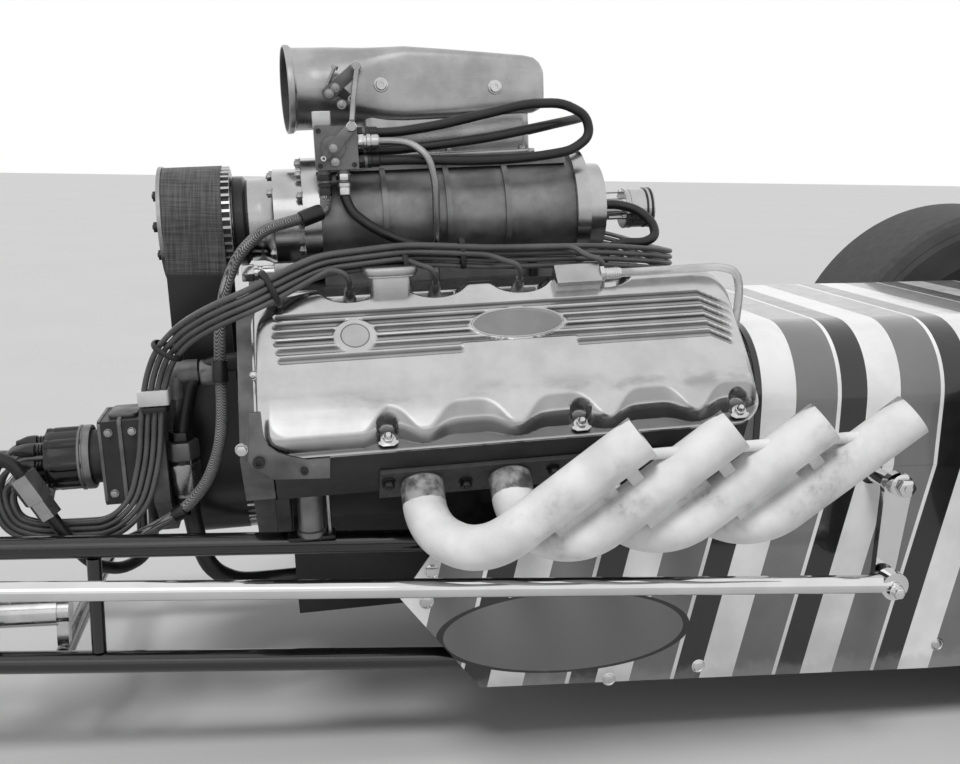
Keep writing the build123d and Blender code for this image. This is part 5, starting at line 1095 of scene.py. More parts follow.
@dataclass
class InjectorHat:
    """The air scoop: a rolled round mouth growing into a flat-sided box, on its bolted foot."""

    steps: int = 72
    rings: tuple[tuple[float, float, float, float, float], ...] = (
        (-12, 30, 30, 595.5, 2), (-14, 55, 54, 595.5, 2.2), (-60, 56, 56, 595.5, 2), (-128, 57, 57, 595.5, 2),
        (-139, 59, 59, 595.5, 2), (-142.4, 61.5, 61.5, 595.5, 2), (-143, 63, 63, 595.5, 2), (-141.6, 64.8, 64.8, 595.5, 2),
        (-138, 65, 65, 595.5, 2), (-134, 64.4, 64.4, 595.5, 2), (-132, 62, 62, 595.5, 2), (-129, 60.4, 60.4, 595.5, 2),
        (-100, 60, 60, 595.5, 2), (-70, 60.3, 59.8, 595.4, 2.15), (-45, 60.8, 58.6, 595.2, 2.6),
        (-22, 61.4, 57.2, 595.2, 3.4), (5, 62, 56, 595.8, 5), (35, 62, 55.3, 596.6, 7), (100, 62, 51.4, 594.6, 8),
        (165, 62, 47, 592.6, 8), (215, 62, 43.5, 591, 8), (230, 61.4, 41, 590.4, 7), (239, 58.5, 36, 589, 6),
        (244.5, 53, 29, 588, 5), (246, 44, 21, 588, 4))
    plugs: tuple[Point, ...] = ((-2, -62, 596), (168, -62, 588))
    pivot: Point = (-70, -60, 593)
    arm_end: Point = (-38, -80, 622)
    foot: tuple[float, float, float, float] = (-30, 222, 52, 488.6)
    mouth_skew: float = 0.10
    inside_rows: int = 5
    hardware: Hardware = field(default_factory=Hardware)

    def ring(self, x: float, wide: float, tall: float, middle: float, square: float) -> list[Point]:
        """One cross-section, from a circle to a box with round corners."""
        points = []
        skew = self.mouth_skew * min(max((-60 - x) / 60, 0), 1)
        for step in range(self.steps):
            turn = math.tau * step / self.steps
            c, s = math.cos(turn), math.sin(turn)
            y = wide * math.copysign(abs(c) ** (2 / square), c)
            points.append((x - skew * y, y, middle + tall * math.copysign(abs(s) ** (2 / square), s)))
        return points

    def shell(self) -> bpy.types.Object:
        """Bridges the cross-sections from inside the mouth over the lip to the tail."""
        points = [point for ring in self.rings for point in self.ring(*ring)]
        count = self.steps
        faces = []
        for row in range(len(self.rings) - 1):
            for step in range(count):
                after = (step + 1) % count
                faces.append((row * count + step, row * count + after, (row + 1) * count + after, (row + 1) * count + step))
        last = (len(self.rings) - 1) * count
        faces += [tuple(range(count))[::-1], tuple(range(last, last + count))]
        shell = Bench.drawn("hat_shell", points, (), faces)
        with Bench.editing(shell):
            bpy.ops.mesh.normals_make_consistent(inside=False)
        Bench.coat(shell, HAT_ALLOY)
        # Painted shade: the rows inside the mouth take the dark inside finish.
        shell.data.materials.append(HAT_INSIDE_SHADE.material())
        for face in shell.data.polygons[:self.inside_rows * count]:
            face.material_index = 1
        return shell

    def throat(self) -> list[bpy.types.Object]:
        """The butterfly and its shaft, seen in the mouth."""
        plate = Bench.prism("butterfly", round_outline(55.5, 55.5, 48), 2.4, 0.6)
        turn = Matrix.Translation((-96, 0, 595.5)) @ Matrix.Rotation(math.radians(72), 4, "Y")
        shaft = Bench.turned("butterfly_shaft", [(0, -58), (4.5, -58), (4.5, 58), (0, 58)], 16)
        Bench.place(plate, turn)
        Bench.place(shaft, Matrix.Translation((-96, 0, 595.5)) @ Matrix.Rotation(math.pi / 2, 4, "X"))
        return [Bench.coat(plate, DARK_CAST), Bench.coat(shaft, STEEL)]

    def base(self) -> list[bpy.types.Object]:
        """The foot under the scoop with its flange and bolts."""
        low, high, half, floor = self.foot
        middle = (low + high) / 2
        foot = Bench.prism("hat_foot", rounded_outline(high - low, 2 * half, 14), 66, 2)
        flange = Bench.prism("hat_flange", rounded_outline(high - low + 16, 2 * half + 14, 16), 8, 1.2)
        for part in (foot, flange):
            Bench.place(part, Matrix.Translation((middle, 0, floor)))
        places = [Matrix.Translation((x, y, floor + 8)) for x in (low + 14, middle, high - 14) for y in (-half - 2, half + 2)]
        bolts = Bench.copies(self.hardware.cap_screw("hat_screw", 9, STEEL), places)
        return [Bench.coat(foot, HAT_ALLOY), Bench.coat(flange, HAT_ALLOY), *bolts]

    def side_plugs(self) -> list[bpy.types.Object]:
        """Round screw plugs on bosses on the left wall."""
        boss = [(0, -2), (11, -2), (11, 1.5), (10, 2.6), (8.4, 2.8), (8, 5.2), (7, 6), (3.6, 6), (3.2, 3), (0, 3)]
        plug = Bench.coat(Bench.turned("hat_plug", boss, 32), BRIGHT_STEEL)
        return Bench.copies(plug, [along(place, (place[0], place[1] - 10, place[2])) for place in self.plugs])

    def throttle(self) -> list[bpy.types.Object]:
        """The throttle arm, its clamp and the rod down to the valve's arm."""
        x, y, z = self.pivot
        boss = Bench.turned("throttle_boss", [(0, -4), (13, -4), (12, 8), (7, 9), (6.5, 22), (0, 22)], 24)
        Bench.place(boss, along(self.pivot, (x, y - 10, z)))
        start, end = (x - 9, y - 15, z - 8), (self.arm_end[0], y - 15, self.arm_end[2])
        arm = lever("throttle_arm", start, end, (10, 7), 4.5, DULL_ALLOY)
        short = lever("throttle_stop", (x, y - 10, z), (x + 22, y - 10, z - 16), (9, 4.5), 3.5, DARK_FITTING)
        screw = Bench.coat(Bench.turned("stop_screw", [(0, -16), (2.4, -16), (2.4, 9), (5, 9), (5, 14), (0, 14)], 12), STEEL)
        Bench.place(screw, along((x - 4, y - 16, z + 18), (x + 2, y - 16, z + 30)))
        bolts = Bench.copies(self.hardware.bolt("throttle_bolt", 10, STEEL),
                             [along(place, (place[0], place[1] - 10, place[2]))
                              for place in ((x, y - 19, z), (x - 9, y - 21, z - 8), (x + 8, y - 19, z - 24))])
        rod = Bench.cable("throttle_rod", [(end[0], y - 24, end[2] - 6), (-46, -115, 580), (-53, -160, 543)], 4, 4, 2)
        eyes = Bench.copies(Bench.coat(Bench.turned("rod_eye", [(0, -5), (6, -5), (7, 0), (6, 5), (0, 5)], 20), STEEL),
                            [along(place, (place[0], place[1] - 10, place[2])) for place in ((end[0], y - 22, end[2]), (-54, -159, 536))])
        return [Bench.coat(boss, STEEL), arm, short, screw, *bolts, Bench.coat(rod, STEEL), *eyes]

    def build(self) -> bpy.types.Object:
        """Builds the scoop in place of the plainer one."""
        parts = [self.shell(), *self.throat(), *self.base(), *self.side_plugs(), *self.throttle()]
        hat = Bench.place(Bench.join("injector_hat_dressed", parts), engine_frame())
        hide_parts("injector_hat")
        return Bench.fit(hat, CHASSIS, "polished_metal", 32)


@dataclass
class ValveDetail:
    """Screws, spindle and arm on the fuel valve's left face, and its outlet fittings."""

    spindle: Point = (-81, -148, 508)
    arm_end: Point = (-54, -148, 536)
    corners: tuple[tuple[float, float], ...] = ((-100, 484), (-52, 484), (-100, 532), (-64, 532))
    outlets: tuple[tuple[float, float], ...] = ((-115, 527), (-115, 502), (-138, 515), (-138, 488))
    feeds: tuple[tuple[float, float], ...] = ((-95, -134), (-68, -134))
    clamp: Point = (-118, -160, 416.5)
    hardware: Hardware = field(default_factory=Hardware)

    def face(self) -> list[bpy.types.Object]:
        """Cover plate, screws, spindle and arm."""
        x, y, z = self.spindle
        plate = Bench.prism("valve_plate", round_outline(17, 17, 32), 5, 1)
        Bench.place(plate, along(self.spindle, (x, y - 10, z)))
        arm = lever("valve_arm", (x, y - 7, z), (self.arm_end[0], y - 7, self.arm_end[2]), (9, 7), 4.5, DULL_ALLOY)
        back = lever("valve_stop", (x, y - 6, z), (x - 14, y - 6, z - 14), (8, 4), 4, DULL_ALLOY)
        nuts = [(x, y - 11, z), (x + 2, y - 7, z - 19)]
        bolts = Bench.copies(self.hardware.bolt("valve_bolt", 9, STEEL), [along(n, (n[0], n[1] - 10, n[2])) for n in nuts])
        screws = Bench.copies(self.hardware.cap_screw("valve_screw", 7, DARK_FITTING),
                              [along((cx, y, cz), (cx, y - 10, cz)) for cx, cz in self.corners])
        post = Bench.place(Bench.prism("valve_post", rounded_outline(26, 30, 3), 22, 1), Matrix.Translation((-94, -126, 537)))
        return [Bench.coat(plate, DULL_ALLOY), Bench.coat(post, POLISHED), arm, back, *bolts, *screws]

    def fittings(self) -> list[bpy.types.Object]:
        """A hexagon and a crimped sleeve on each outlet."""
        made = []
        for number, (y, z) in enumerate(self.outlets):
            finish = BRIGHT_STEEL if number == 2 else DARK_FITTING
            made += self.coupling((-46, y, z), (0, y, z), 21 if number == 2 else 18, finish)
        for (x, y), finish in zip(self.feeds, (DARK_FITTING, BRIGHT_STEEL)):
            made += self.coupling((x, y, 472), (x, y, 400), 19, finish)
        clamp = Bench.turned("hose_clamp", [(8, -17), (11, -16), (11.6, -12), (11.6, 12), (11, 16), (8, 17)], 24)
        made.append(Bench.coat(Bench.place(clamp, along(self.clamp, (-145, -170, 408))), HOSE))
        return made

    @staticmethod
    def coupling(start: Point, end: Point, width: float, finish: Finish) -> list[bpy.types.Object]:
        """A hexagon, a collar and a crimped sleeve on a hose that leaves start towards end."""
        profile = [(width * 0.36, 8), (width * 0.44, 9), (width * 0.44, 12), (width * 0.53, 13), (width * 0.53, 18),
                   (width * 0.46, 19), (width * 0.49, 21), (width * 0.49, 29), (width * 0.40, 31)]
        nut = Bench.hexagon("coupling_nut", width, 9)
        sleeve = Bench.turned("coupling_sleeve", profile, 24)
        return [Bench.coat(Bench.place(part, along(start, end)), finish) for part in (nut, sleeve)]

    def build(self) -> bpy.types.Object:
        """Builds the valve's details."""
        detail = Bench.place(Bench.join("fuel_valve_details", [*self.face(), *self.fittings()]), engine_frame())
        return Bench.fit(detail, CHASSIS, "satin_metal")


@dataclass
class BlowerDetail:
    """Bolts on the blower's end plates, the dark collar, and the pulleys' teeth and bolts."""

    height: float = 403.6
    spread: float = 50
    plates: tuple[tuple[float, float, int], ...] = ((-128, 83.5, 7), (-170, 66.5, 5))
    teeth: int = 43
    tooth_radius: float = 78.6
    tooth_start: float = -245.5
    tooth_length: float = 12
    can: tuple[float, float] = (-50, 398.6)
    can_radius: float = 30
    can_span: tuple[float, float] = (366, 412)
    hardware: Hardware = field(default_factory=Hardware)

    def outline_places(self, x: float, radius: float, each: int) -> list[Matrix]:
        """Places round a plate shaped like two joined circles, looking forward."""
        found = []
        for sign in (-1, 1):
            for step in range(each):
                turn = math.radians(98 + 164 * step / (each - 1))
                y = sign * (self.spread - radius * math.cos(turn) * 1.0)
                z = self.height + radius * math.sin(turn)
                found.append(along((x, y, z), (x - 10, y, z)))
        return found

    def bolts(self) -> list[bpy.types.Object]:
        """The two bolt circles of the front plates."""
        made = []
        for x, radius, each in self.plates:
            bolt = self.hardware.bolt("plate_bolt", 12, STEEL)
            made += Bench.copies(bolt, self.outline_places(x, radius, each))
        return made

    def pulley(self, height: float) -> list[bpy.types.Object]:
        """Teeth on a dark ring at the rear edge, and bolts at the front of one pulley."""
        outline = [(-2.4, 0), (2.4, 0), (2.0, 4.4), (-2.0, 4.4)]
        tooth = Bench.coat(Bench.prism("pulley_tooth", outline, self.tooth_length, 0), BRIGHT_STEEL)
        upright = Matrix.Rotation(math.pi / 2, 4, "Y") @ Matrix.Rotation(math.pi / 2, 4, "Z")
        centre = Matrix.Translation((self.tooth_start, 0, height))
        places = [centre @ Matrix.Rotation(math.tau * k / self.teeth, 4, "X") @ Matrix.Translation((0, 0, self.tooth_radius)) @ upright
                  for k in range(self.teeth)]
        teeth = Bench.copies(tooth, places)
        ring = Bench.turned("pulley_ring", [(60, 0), (79.2, 0), (79.2, self.tooth_length - 1), (60, self.tooth_length - 1)], 72)
        Bench.coat(Bench.place(ring, along((self.tooth_start, 0, height), (0, 0, height))), HOSE)
        rings = [math.tau * k / 6 for k in range(6)]
        bolts = Bench.copies(self.hardware.bolt("pulley_bolt", 15, DARK_FITTING),
                             [along((-337, 50 * math.cos(a), height + 50 * math.sin(a)),
                                    (-350, 50 * math.cos(a), height + 50 * math.sin(a))) for a in rings])
        return [*teeth, ring, *bolts]

    def collar(self) -> bpy.types.Object:
        """The dark seal collar on the snout behind the pulley."""
        profile = [(58, 0), (66, 0), (67, 3), (67, 15), (64, 18), (61.2, 19), (61.2, 22)]
        return Bench.coat(Bench.place(Bench.turned("snout_collar", profile, 56), along((-231, 0, self.height), (0, 0, self.height))), DARK_FITTING)

    def snout_rings(self) -> bpy.types.Object:
        """Turned steps along the snout."""
        profile = [(61, 22), (61.6, 23), (62.2, 40), (64.5, 48), (70, 58), (74, 61)]
        return Bench.coat(Bench.place(Bench.turned("snout_rings", profile, 56), along((-231, 0, self.height), (0, 0, self.height))), POLISHED)

    def canister(self) -> list[bpy.types.Object]:
        """Rings and pins round the small canister behind the blower."""
        radius, low, high = self.can_radius, *self.can_span
        rings = [(radius - 2, 0), (radius + 1, 0), (radius + 1, 3), (radius - 0.5, 4), (radius - 0.5, 7), (radius + 1, 8),
                 (radius + 1, 11), (radius - 2, 12)]
        made = []
        for x, finish in ((high - 13, DARK_FITTING), (low + 1, POLISHED)):
            ring = Bench.turned("canister_ring", rings, 48)
            made.append(Bench.coat(Bench.place(ring, along((x, *self.can), (x + 10, *self.can))), finish))
        for dy, dz in ((-22, 12), (-22, -12), (0, 26)):
            pin = Bench.turned("canister_pin", [(0, -3), (4, -3), (4, 5), (2.5, 6), (2.5, 27), (0, 28)], 16)
            y, z = self.can[0] + dy, self.can[1] + dz
            made.append(Bench.coat(Bench.place(pin, along((low, y, z), (low - 10, y, z))), BRIGHT_STEEL))
        return made

    def build(self) -> bpy.types.Object:
        """Builds the details of the blower drive."""
        parts = [*self.bolts(), *self.pulley(self.height), *self.pulley(0), self.collar(), self.snout_rings(),
                 *self.canister()]
        detail = Bench.place(Bench.join("blower_details", parts), engine_frame())
        return Bench.fit(detail, CHASSIS, "plain_steel")


@dataclass
class MagnetoDetail:
    """The magneto's band, ribbed towers and wire boots."""

    centre: tuple[float, float] = (-150, 90)
    face: float = -508
    circle: float = 27
    flute_circle: float = 36
    towers: int = 8

    def tower(self) -> bpy.types.Object:
        """One ribbed tower."""
        profile = [(0, -1), (9.6, -1), (9.6, 2)]
        for rib in range(3):
            profile += [(8.2, 3 + rib * 4), (9.2, 4.4 + rib * 4), (8.2, 6 + rib * 4)]
        return Bench.coat(Bench.turned("cap_tower", [*profile, (8.4, 16), (0, 16)], 20), BLACK_PLASTIC)

    def boot(self) -> bpy.types.Object:
        """One rounded rubber boot over a tower's end."""
        profile = [(0, 14), (9.8, 14), (10.2, 17), (9.6, 27), (7.4, 33), (5.2, 38), (4.2, 42), (0, 42)]
        return Bench.coat(Bench.turned("wire_boot", profile, 20), HOSE)

    def spots(self, circle: float, x: float) -> list[Matrix]:
        """Places round the cap's axis, facing forward."""
        y, z = self.centre
        found = []
        for number in range(self.towers):
            turn = math.tau * number / self.towers
            spot = (x, y + circle * math.cos(turn), z + circle * math.sin(turn))
            found.append(along(spot, (x - 10, *spot[1:])))
        return found

    def flutes(self) -> list[bpy.types.Object]:
        """The round flutes that run along the cap."""
        profile = [(0, 0), (9.6, 0), (10, 1.5), (10, 38), (9.2, 40), (9.2, 43), (10, 44.5), (9.4, 49), (0, 50)]
        flute = Bench.coat(Bench.turned("cap_flute", profile, 20), BLACK_PLASTIC)
        return Bench.copies(flute, self.spots(self.flute_circle, self.face + 50))

    def housing(self) -> list[bpy.types.Object]:
        """A joint flange, a lid and screws on the drive's box."""
        y, z = self.centre
        upright = Matrix.Rotation(math.pi / 2, 4, "Y") @ Matrix.Rotation(math.pi / 2, 4, "Z")
        made = []
        for x, wide, tall, thick in ((-404, 96, 126, 6), (-431, 93, 123, 5)):
            plate = Bench.prism("box_flange", rounded_outline(wide, tall, 9), thick, 1.4)
            made.append(Bench.coat(Bench.place(plate, Matrix.Translation((x, y, z)) @ upright), DULL_ALLOY))
        lid = Bench.place(Bench.prism("box_lid", rounded_outline(40, 60, 8), 6, 1.6), Matrix.Translation((-398, y, z + 60)))
        made.append(Bench.coat(lid, DULL_ALLOY))
        places = [along((x, y - 45, z + dz), (x, y - 60, z + dz)) for x in (-417, -385) for dz in (-44, 44)]
        return [*made, *Bench.copies(Hardware().bolt("box_bolt", 9, STEEL), places)]

    def build(self) -> bpy.types.Object:
        """Builds the towers, boots, bands, flutes and the drive box's fittings."""
        y, z = self.centre
        base = along((self.face + 60, y, z), (self.face, y, z))
        band = Bench.turned("cap_band", [(41, -1), (45.4, -1), (46, 0.5), (46, 8), (45, 9), (45, 11), (46.6, 12),
                                         (46.6, 15), (44, 16), (41, 16)], 48)
        cap = Bench.turned("cap_rim", [(42, 12), (43, 14), (43, 50), (43.6, 54), (42, 59), (38, 60.6), (0, 61)], 48)
        towers = self.spots(self.circle, self.face)
        parts = [*Bench.copies(self.tower(), towers), *Bench.copies(self.boot(), towers), *self.flutes(), *self.housing(),
                 Bench.coat(Bench.place(band, base), CASE_ALLOY), Bench.coat(Bench.place(cap, base), BLACK_PLASTIC)]
        detail = Bench.place(Bench.join("magneto_details", parts), engine_frame())
        return Bench.fit(detail, CHASSIS, "black_plastic")


@dataclass
class LineDetail:
    """Ties round the wires, the clamp, clips, the fuel block and the big line's fittings."""

    ties: tuple[tuple[Point, Point, float, float], ...] = (
        ((-178, -273, 331), (-120, -262, 356), 24, 16),
        ((4, -233, 351), (60, -228, 358), 15, 13),
        ((84, -228, 360), (140, -226, 362), 19, 10),
        ((-322, -227, 250), (-300, -236, 290), 21, 16))
    block: Point = (-152, -158, 332)
    oil: tuple[float, float] = (-325, -150)
    sleeves: tuple[tuple[Point, Point, float, float], ...] = (
        ((-255, -229, 232), (-256, -236, 188), 0, 30),
        ((-320, -212, 20), (-345, -205, 5), 0, 20))

    def tie(self, middle: Point, ahead: Point, wide: float, high: float) -> bpy.types.Object:
        """A soft band round a bundle."""
        turns = [math.tau * k / 12 for k in range(13)]
        profile = [(1 + 0.16 * math.cos(turn), 4.2 * math.sin(turn)) for turn in turns]
        band = Bench.turned("wire_tie", profile, 36)
        Bench.place(band, along(middle, ahead) @ Matrix.Diagonal((high, wide, 1, 1)))
        return Bench.coat(band, HOSE)

    def clamp(self) -> list[bpy.types.Object]:
        """The pale clamp that gathers the wires in front of the belt."""
        band = Bench.prism("bundle_clamp", rounded_outline(42, 28, 4), 21, 1.2)
        Bench.place(band, Matrix.Translation((-349, -204, 172)))
        ring = Bench.prism("bundle_ring", rounded_outline(38, 24, 8), 8, 1.5)
        Bench.place(ring, Matrix.Translation((-349, -204, 162)))
        return [Bench.coat(band, PALE_PLASTIC), Bench.coat(ring, HOSE)]

    def fuel_block(self) -> list[bpy.types.Object]:
        """A drilled block with a hexagon plug under the snout."""
        x, y, z = self.block
        block = Bench.place(Bench.prism("fuel_block", rounded_outline(44, 26, 2), 27, 1.2), Matrix.Translation((x, y, z - 6)))
        start, end = (x - 22, y, z + 8), (x - 70, y, z + 9)
        neck = Bench.turned("block_neck", [(0, 0), (10, 0), (10, 16), (8.5, 18), (8.5, 22), (11, 23), (11, 28), (0, 28)], 24)
        plug = Bench.hexagon("block_plug", 23, 17, 1.4)
        Bench.place(neck, along(start, end))
        Bench.place(plug, along(start, end) @ Matrix.Translation((0, 0, 28)))
        return [Bench.coat(block, HAT_ALLOY), Bench.coat(neck, BRIGHT_STEEL), Bench.coat(plug, BRIGHT_STEEL)]

    def oil_couplings(self) -> list[bpy.types.Object]:
        """The big oil line's hexagons, its tapered socket, and the fat elbow and joint at its top."""
        x, y = self.oil
        made = []
        neck = Bench.hexagon("oil_neck", 31, 14, 1)
        made.append(Bench.coat(Bench.place(neck, Matrix.Translation((x, y, 104))), DARK_FITTING))
        nut = Bench.hexagon("oil_nut", 43, 27, 2)
        made.append(Bench.coat(Bench.place(nut, Matrix.Translation((x, y, 77))), DULL_ALLOY))
        gap = Bench.turned("oil_gap", [(0, 0), (21.5, 0), (21.5, 6), (0, 6)], 32)
        made.append(Bench.coat(Bench.place(gap, Matrix.Translation((x, y, 72))), DARK_FITTING))
        made.append(Bench.coat(Bench.place(self.socket(), Matrix.Translation((x, y, 21))), HAT_ALLOY))
        sleeve = Bench.turned("oil_sleeve", [(0, 0), (17.5, 0), (18, 2), (18, 22), (0, 22)], 32)
        made.append(Bench.coat(Bench.place(sleeve, Matrix.Translation((x, y, 0))), HOSE))
        elbow = Bench.cable("oil_elbow", [(-327, y, 168), (-327, y, 202), (-316, y, 204), (-292, y, 204)], 17.5, 6)
        made.append(Bench.coat(elbow, DULL_ALLOY))
        joint = Bench.turned("oil_joint", [(0, 0), (18.5, 0), (19.5, 2), (19.5, 22), (18.5, 24), (0, 24)], 36)
        made.append(Bench.coat(Bench.place(joint, along((-289, y, 200), (-200, y, 200))), CASE_ALLOY))
        return made

    @staticmethod
    def socket() -> bpy.types.Object:
        """A hexagonal socket that tapers downwards to a round end."""
        rings = ((0, 18, 18), (2, 19.5, 19.5), (8, 19.8, 20.5), (28, 21.5, 24.4), (50, 21.5, 24.8), (51, 20.5, 23.4))
        steps = 24
        points = []
        for height, flat, corner in rings:
            for step in range(steps):
                turn = math.tau * step / steps
                share = abs(math.cos(3 * turn)) ** 1.5
                radius = flat + (corner - flat) * share
                points.append((radius * math.cos(turn), radius * math.sin(turn), height))
        faces = [tuple(range(steps))[::-1], tuple(range(len(points) - steps, len(points)))]
        for row in range(len(rings) - 1):
            for step in range(steps):
                after = (step + 1) % steps
                faces.append((row * steps + step, row * steps + after, (row + 1) * steps + after, (row + 1) * steps + step))
        return Bench.drawn("oil_socket", points, (), faces)

    def hose_sleeves(self) -> list[bpy.types.Object]:
        """Plain black sleeves on the woven hose."""
        made = []
        for start, end, low, high in self.sleeves:
            sleeve = Bench.turned("hose_sleeve", [(8, low), (10.4, low + 0.5), (10.8, low + 2), (10.8, high - 2),
                                                  (10.4, high - 0.5), (8, high)], 24)
            made.append(Bench.coat(Bench.place(sleeve, along(start, end)), HOSE))
        return made

    def build(self) -> bpy.types.Object:
        """Builds the ties, clamp, block, couplings and sleeves."""
        parts = [self.tie(*tie) for tie in self.ties] + self.clamp() + self.fuel_block()
        parts += self.oil_couplings() + self.hose_sleeves()
        detail = Bench.place(Bench.join("wire_ties_and_block", parts), engine_frame())
        return Bench.fit(detail, CHASSIS, "black_plastic")


@dataclass
class SteeringDetail:
    """The pitman arm's big nut and the pin at its lower end."""

    pivot: Point = (1361, -386, 437)
    foot: Point = (1352, -414, 292)
    hardware: Hardware = field(default_factory=Hardware)

    def build(self) -> bpy.types.Object:
        """Builds both on the arm itself, so that they turn with it."""
        parts = []
        for place, width in ((self.pivot, 24), (self.foot, 15)):
            x, y, z = place
            bolt = self.hardware.bolt("arm_bolt", width, CHROME)
            parts.append(Bench.place(bolt, along(place, (x, y - 10, z))))
        detail = Bench.place(Bench.join("pitman_arm_bolts", parts), car_frame())
        return Bench.fit(detail, "pitman_arm", "chrome_plate")


@dataclass
class HeaderDetail:
    """Flange nuts, and the tabs and web plates between the pipes near their mouths."""

    side: Side
    nuts: tuple[float, ...] = (-44, -36 + 95, 176.4, 294, 397)
    nut_s: float = 197.5
    nut_t: float = 304
    mouth: Point = (255, -502.5, 157.4)
    run: Point = (195, -28, 146)
    hardware: Hardware = field(default_factory=Hardware)

    def ties(self) -> bpy.types.Object:
        """A square tab and a web plate in each gap between two pipes."""
        run = Vector(self.run).normalized()
        across = Vector((1, 0, 0)) - run * run.x
        across.normalize()
        turn = Matrix((across, run.cross(across), run)).transposed().to_4x4()
        made = []
        for gap in range(3):
            middle = Vector(self.mouth) + Vector(((gap + 0.5) * PORT_PITCH, 0, 0))
            for name, back, length, thick in (("pipe_tab", 94, 17, 15), ("pipe_web", 205, 92, 3)):
                part = Bench.prism(name, rounded_outline(19, thick, 1.2, 2), length, 1)
                spot = middle - run * back
                made.append(Bench.coat(Bench.place(part, Matrix.Translation(spot) @ turn), PIPE_WHITE))
        mirror = Matrix.Diagonal((1, -self.side.value, 1, 1))
        ties = Bench.place(Bench.join(f"header_ties_{self.side.name.lower()}", made), engine_frame() @ mirror)
        return Bench.fit(ties, CHASSIS, "header_white")

    def build(self) -> bpy.types.Object:
        """Builds the ties and the nuts on the flange, facing out of the head."""
        self.ties()
        places = [along((x, self.nut_s, self.nut_t + 8 * (-1) ** k), (x, self.nut_s + 10, self.nut_t + 8 * (-1) ** k)) for k, x in enumerate(self.nuts)]
        nuts = Bench.copies(self.hardware.bolt("flange_nut", 14, DARK_FITTING), places)
        name = self.side.name.lower()
        detail = Bench.place(Bench.join(f"header_nuts_{name}", nuts), bank_frame(self.side))
        return Bench.fit(detail, CHASSIS, "plain_steel")


@dataclass
class FrontPlateDetail:
    """The ear plate at the foot of each head's front, its bolts, and the mount below it."""

    side: Side
    face: float = -396
    outline: tuple[tuple[float, float], ...] = (
        (-198, 196), (-197, 165), (-192, 152), (-181, 143), (-164, 136), (-145, 131), (-117, 131), (-119, 104),
        (-188, 108), (-202, 119), (-213, 126), (-218, 135), (-217, 145), (-212, 196))
    bolts: tuple[tuple[float, float, float], ...] = ((-205, 133, 15), (-150, 117, 10))
    post: Point = (-148, -262, -17)
    hardware: Hardware = field(default_factory=Hardware)

    def build(self) -> bpy.types.Object:
        """Builds them on the left and mirrors them for the right."""
        plate = Bench.prism("ear_plate", list(self.outline), 7, 1.4)
        Bench.place(plate, Matrix.Translation((0, self.face + 7, 0)) @ Matrix.Rotation(math.pi / 2, 4, "X"))
        parts = [Bench.coat(plate, DULL_ALLOY)]
        for x, z, width in self.bolts:
            screw = self.hardware.cap_screw("ear_screw", width, DARK_FITTING)
            parts.append(Bench.place(screw, along((x, self.face, z), (x, self.face - 10, z))))
        edge = self.hardware.bolt("ear_nut", 12, BRIGHT_STEEL)
        parts.append(Bench.place(edge, along((-225, self.face + 8, 148), (-225, self.face - 10, 148))))
        x, y, z = self.post
        rings = [(0, 0), (19, 0), (20, 2), (20, 8), (17.5, 10), (17.5, 66), (20, 68), (20, 76), (0, 77)]
        post = Bench.turned("mount_post", rings, 36)
        rod = Bench.turned("mount_rod", [(0, 0), (3.5, 0), (3.5, 76), (0, 76)], 12)
        base = Bench.prism("mount_base", rounded_outline(66, 32, 5), 5, 1.2)
        cap = Bench.prism("mount_cap", rounded_outline(70, 40, 5), 6, 1.2)
        stop = Bench.prism("mount_stop", rounded_outline(22, 26, 4), 48, 1.6)
        for part, dx, dz, finish in ((post, 0, 0, CASE_ALLOY), (rod, 25, 0, STEEL), (base, 0, -3, DARK_FITTING),
                                     (cap, 0, 73, DARK_FITTING), (stop, -36, 12, DARK_FITTING)):
            parts.append(Bench.coat(Bench.place(part, Matrix.Translation((x + dx, y, z + dz))), finish))
        mirror = Matrix.Diagonal((1, -self.side.value, 1, 1))
        name = self.side.name.lower()
        detail = Bench.place(Bench.join(f"front_plate_details_{name}", parts), engine_frame() @ mirror)
        return Bench.fit(detail, CHASSIS, "satin_metal")


@dataclass
class BodyDetail:
    """Quarter-turn fasteners on the side panels."""

    side: Side
    face: float = 302
    spots: tuple[tuple[float, float], ...] = ((712, 308), (705, 263), (1113, 139), (976, 127), (1500, 150), (1900, 150),
                                              (2300, 150), (1240, 420), (1640, 420), (2040, 420), (2430, 420))

    def build(self) -> bpy.types.Object:
        """Builds the slotted discs."""
        profile = [(0, -1.5), (10, -1.5), (10.4, 0.4), (8.6, 1.3), (7.6, 0.6), (5.4, 1.6), (0, 1.9)]
        disc = Bench.coat(Bench.turned("panel_fastener", profile, 24), BRIGHT_STEEL)
        y = self.side.value * self.face
        places = [along((x, y, z), (x, y * 1.1, z)) for x, z in self.spots]
        name = self.side.name.lower()
        detail = Bench.place(Bench.join(f"panel_fasteners_{name}", Bench.copies(disc, places)), car_frame())
        return Bench.fit(detail, CHASSIS, "plain_steel")


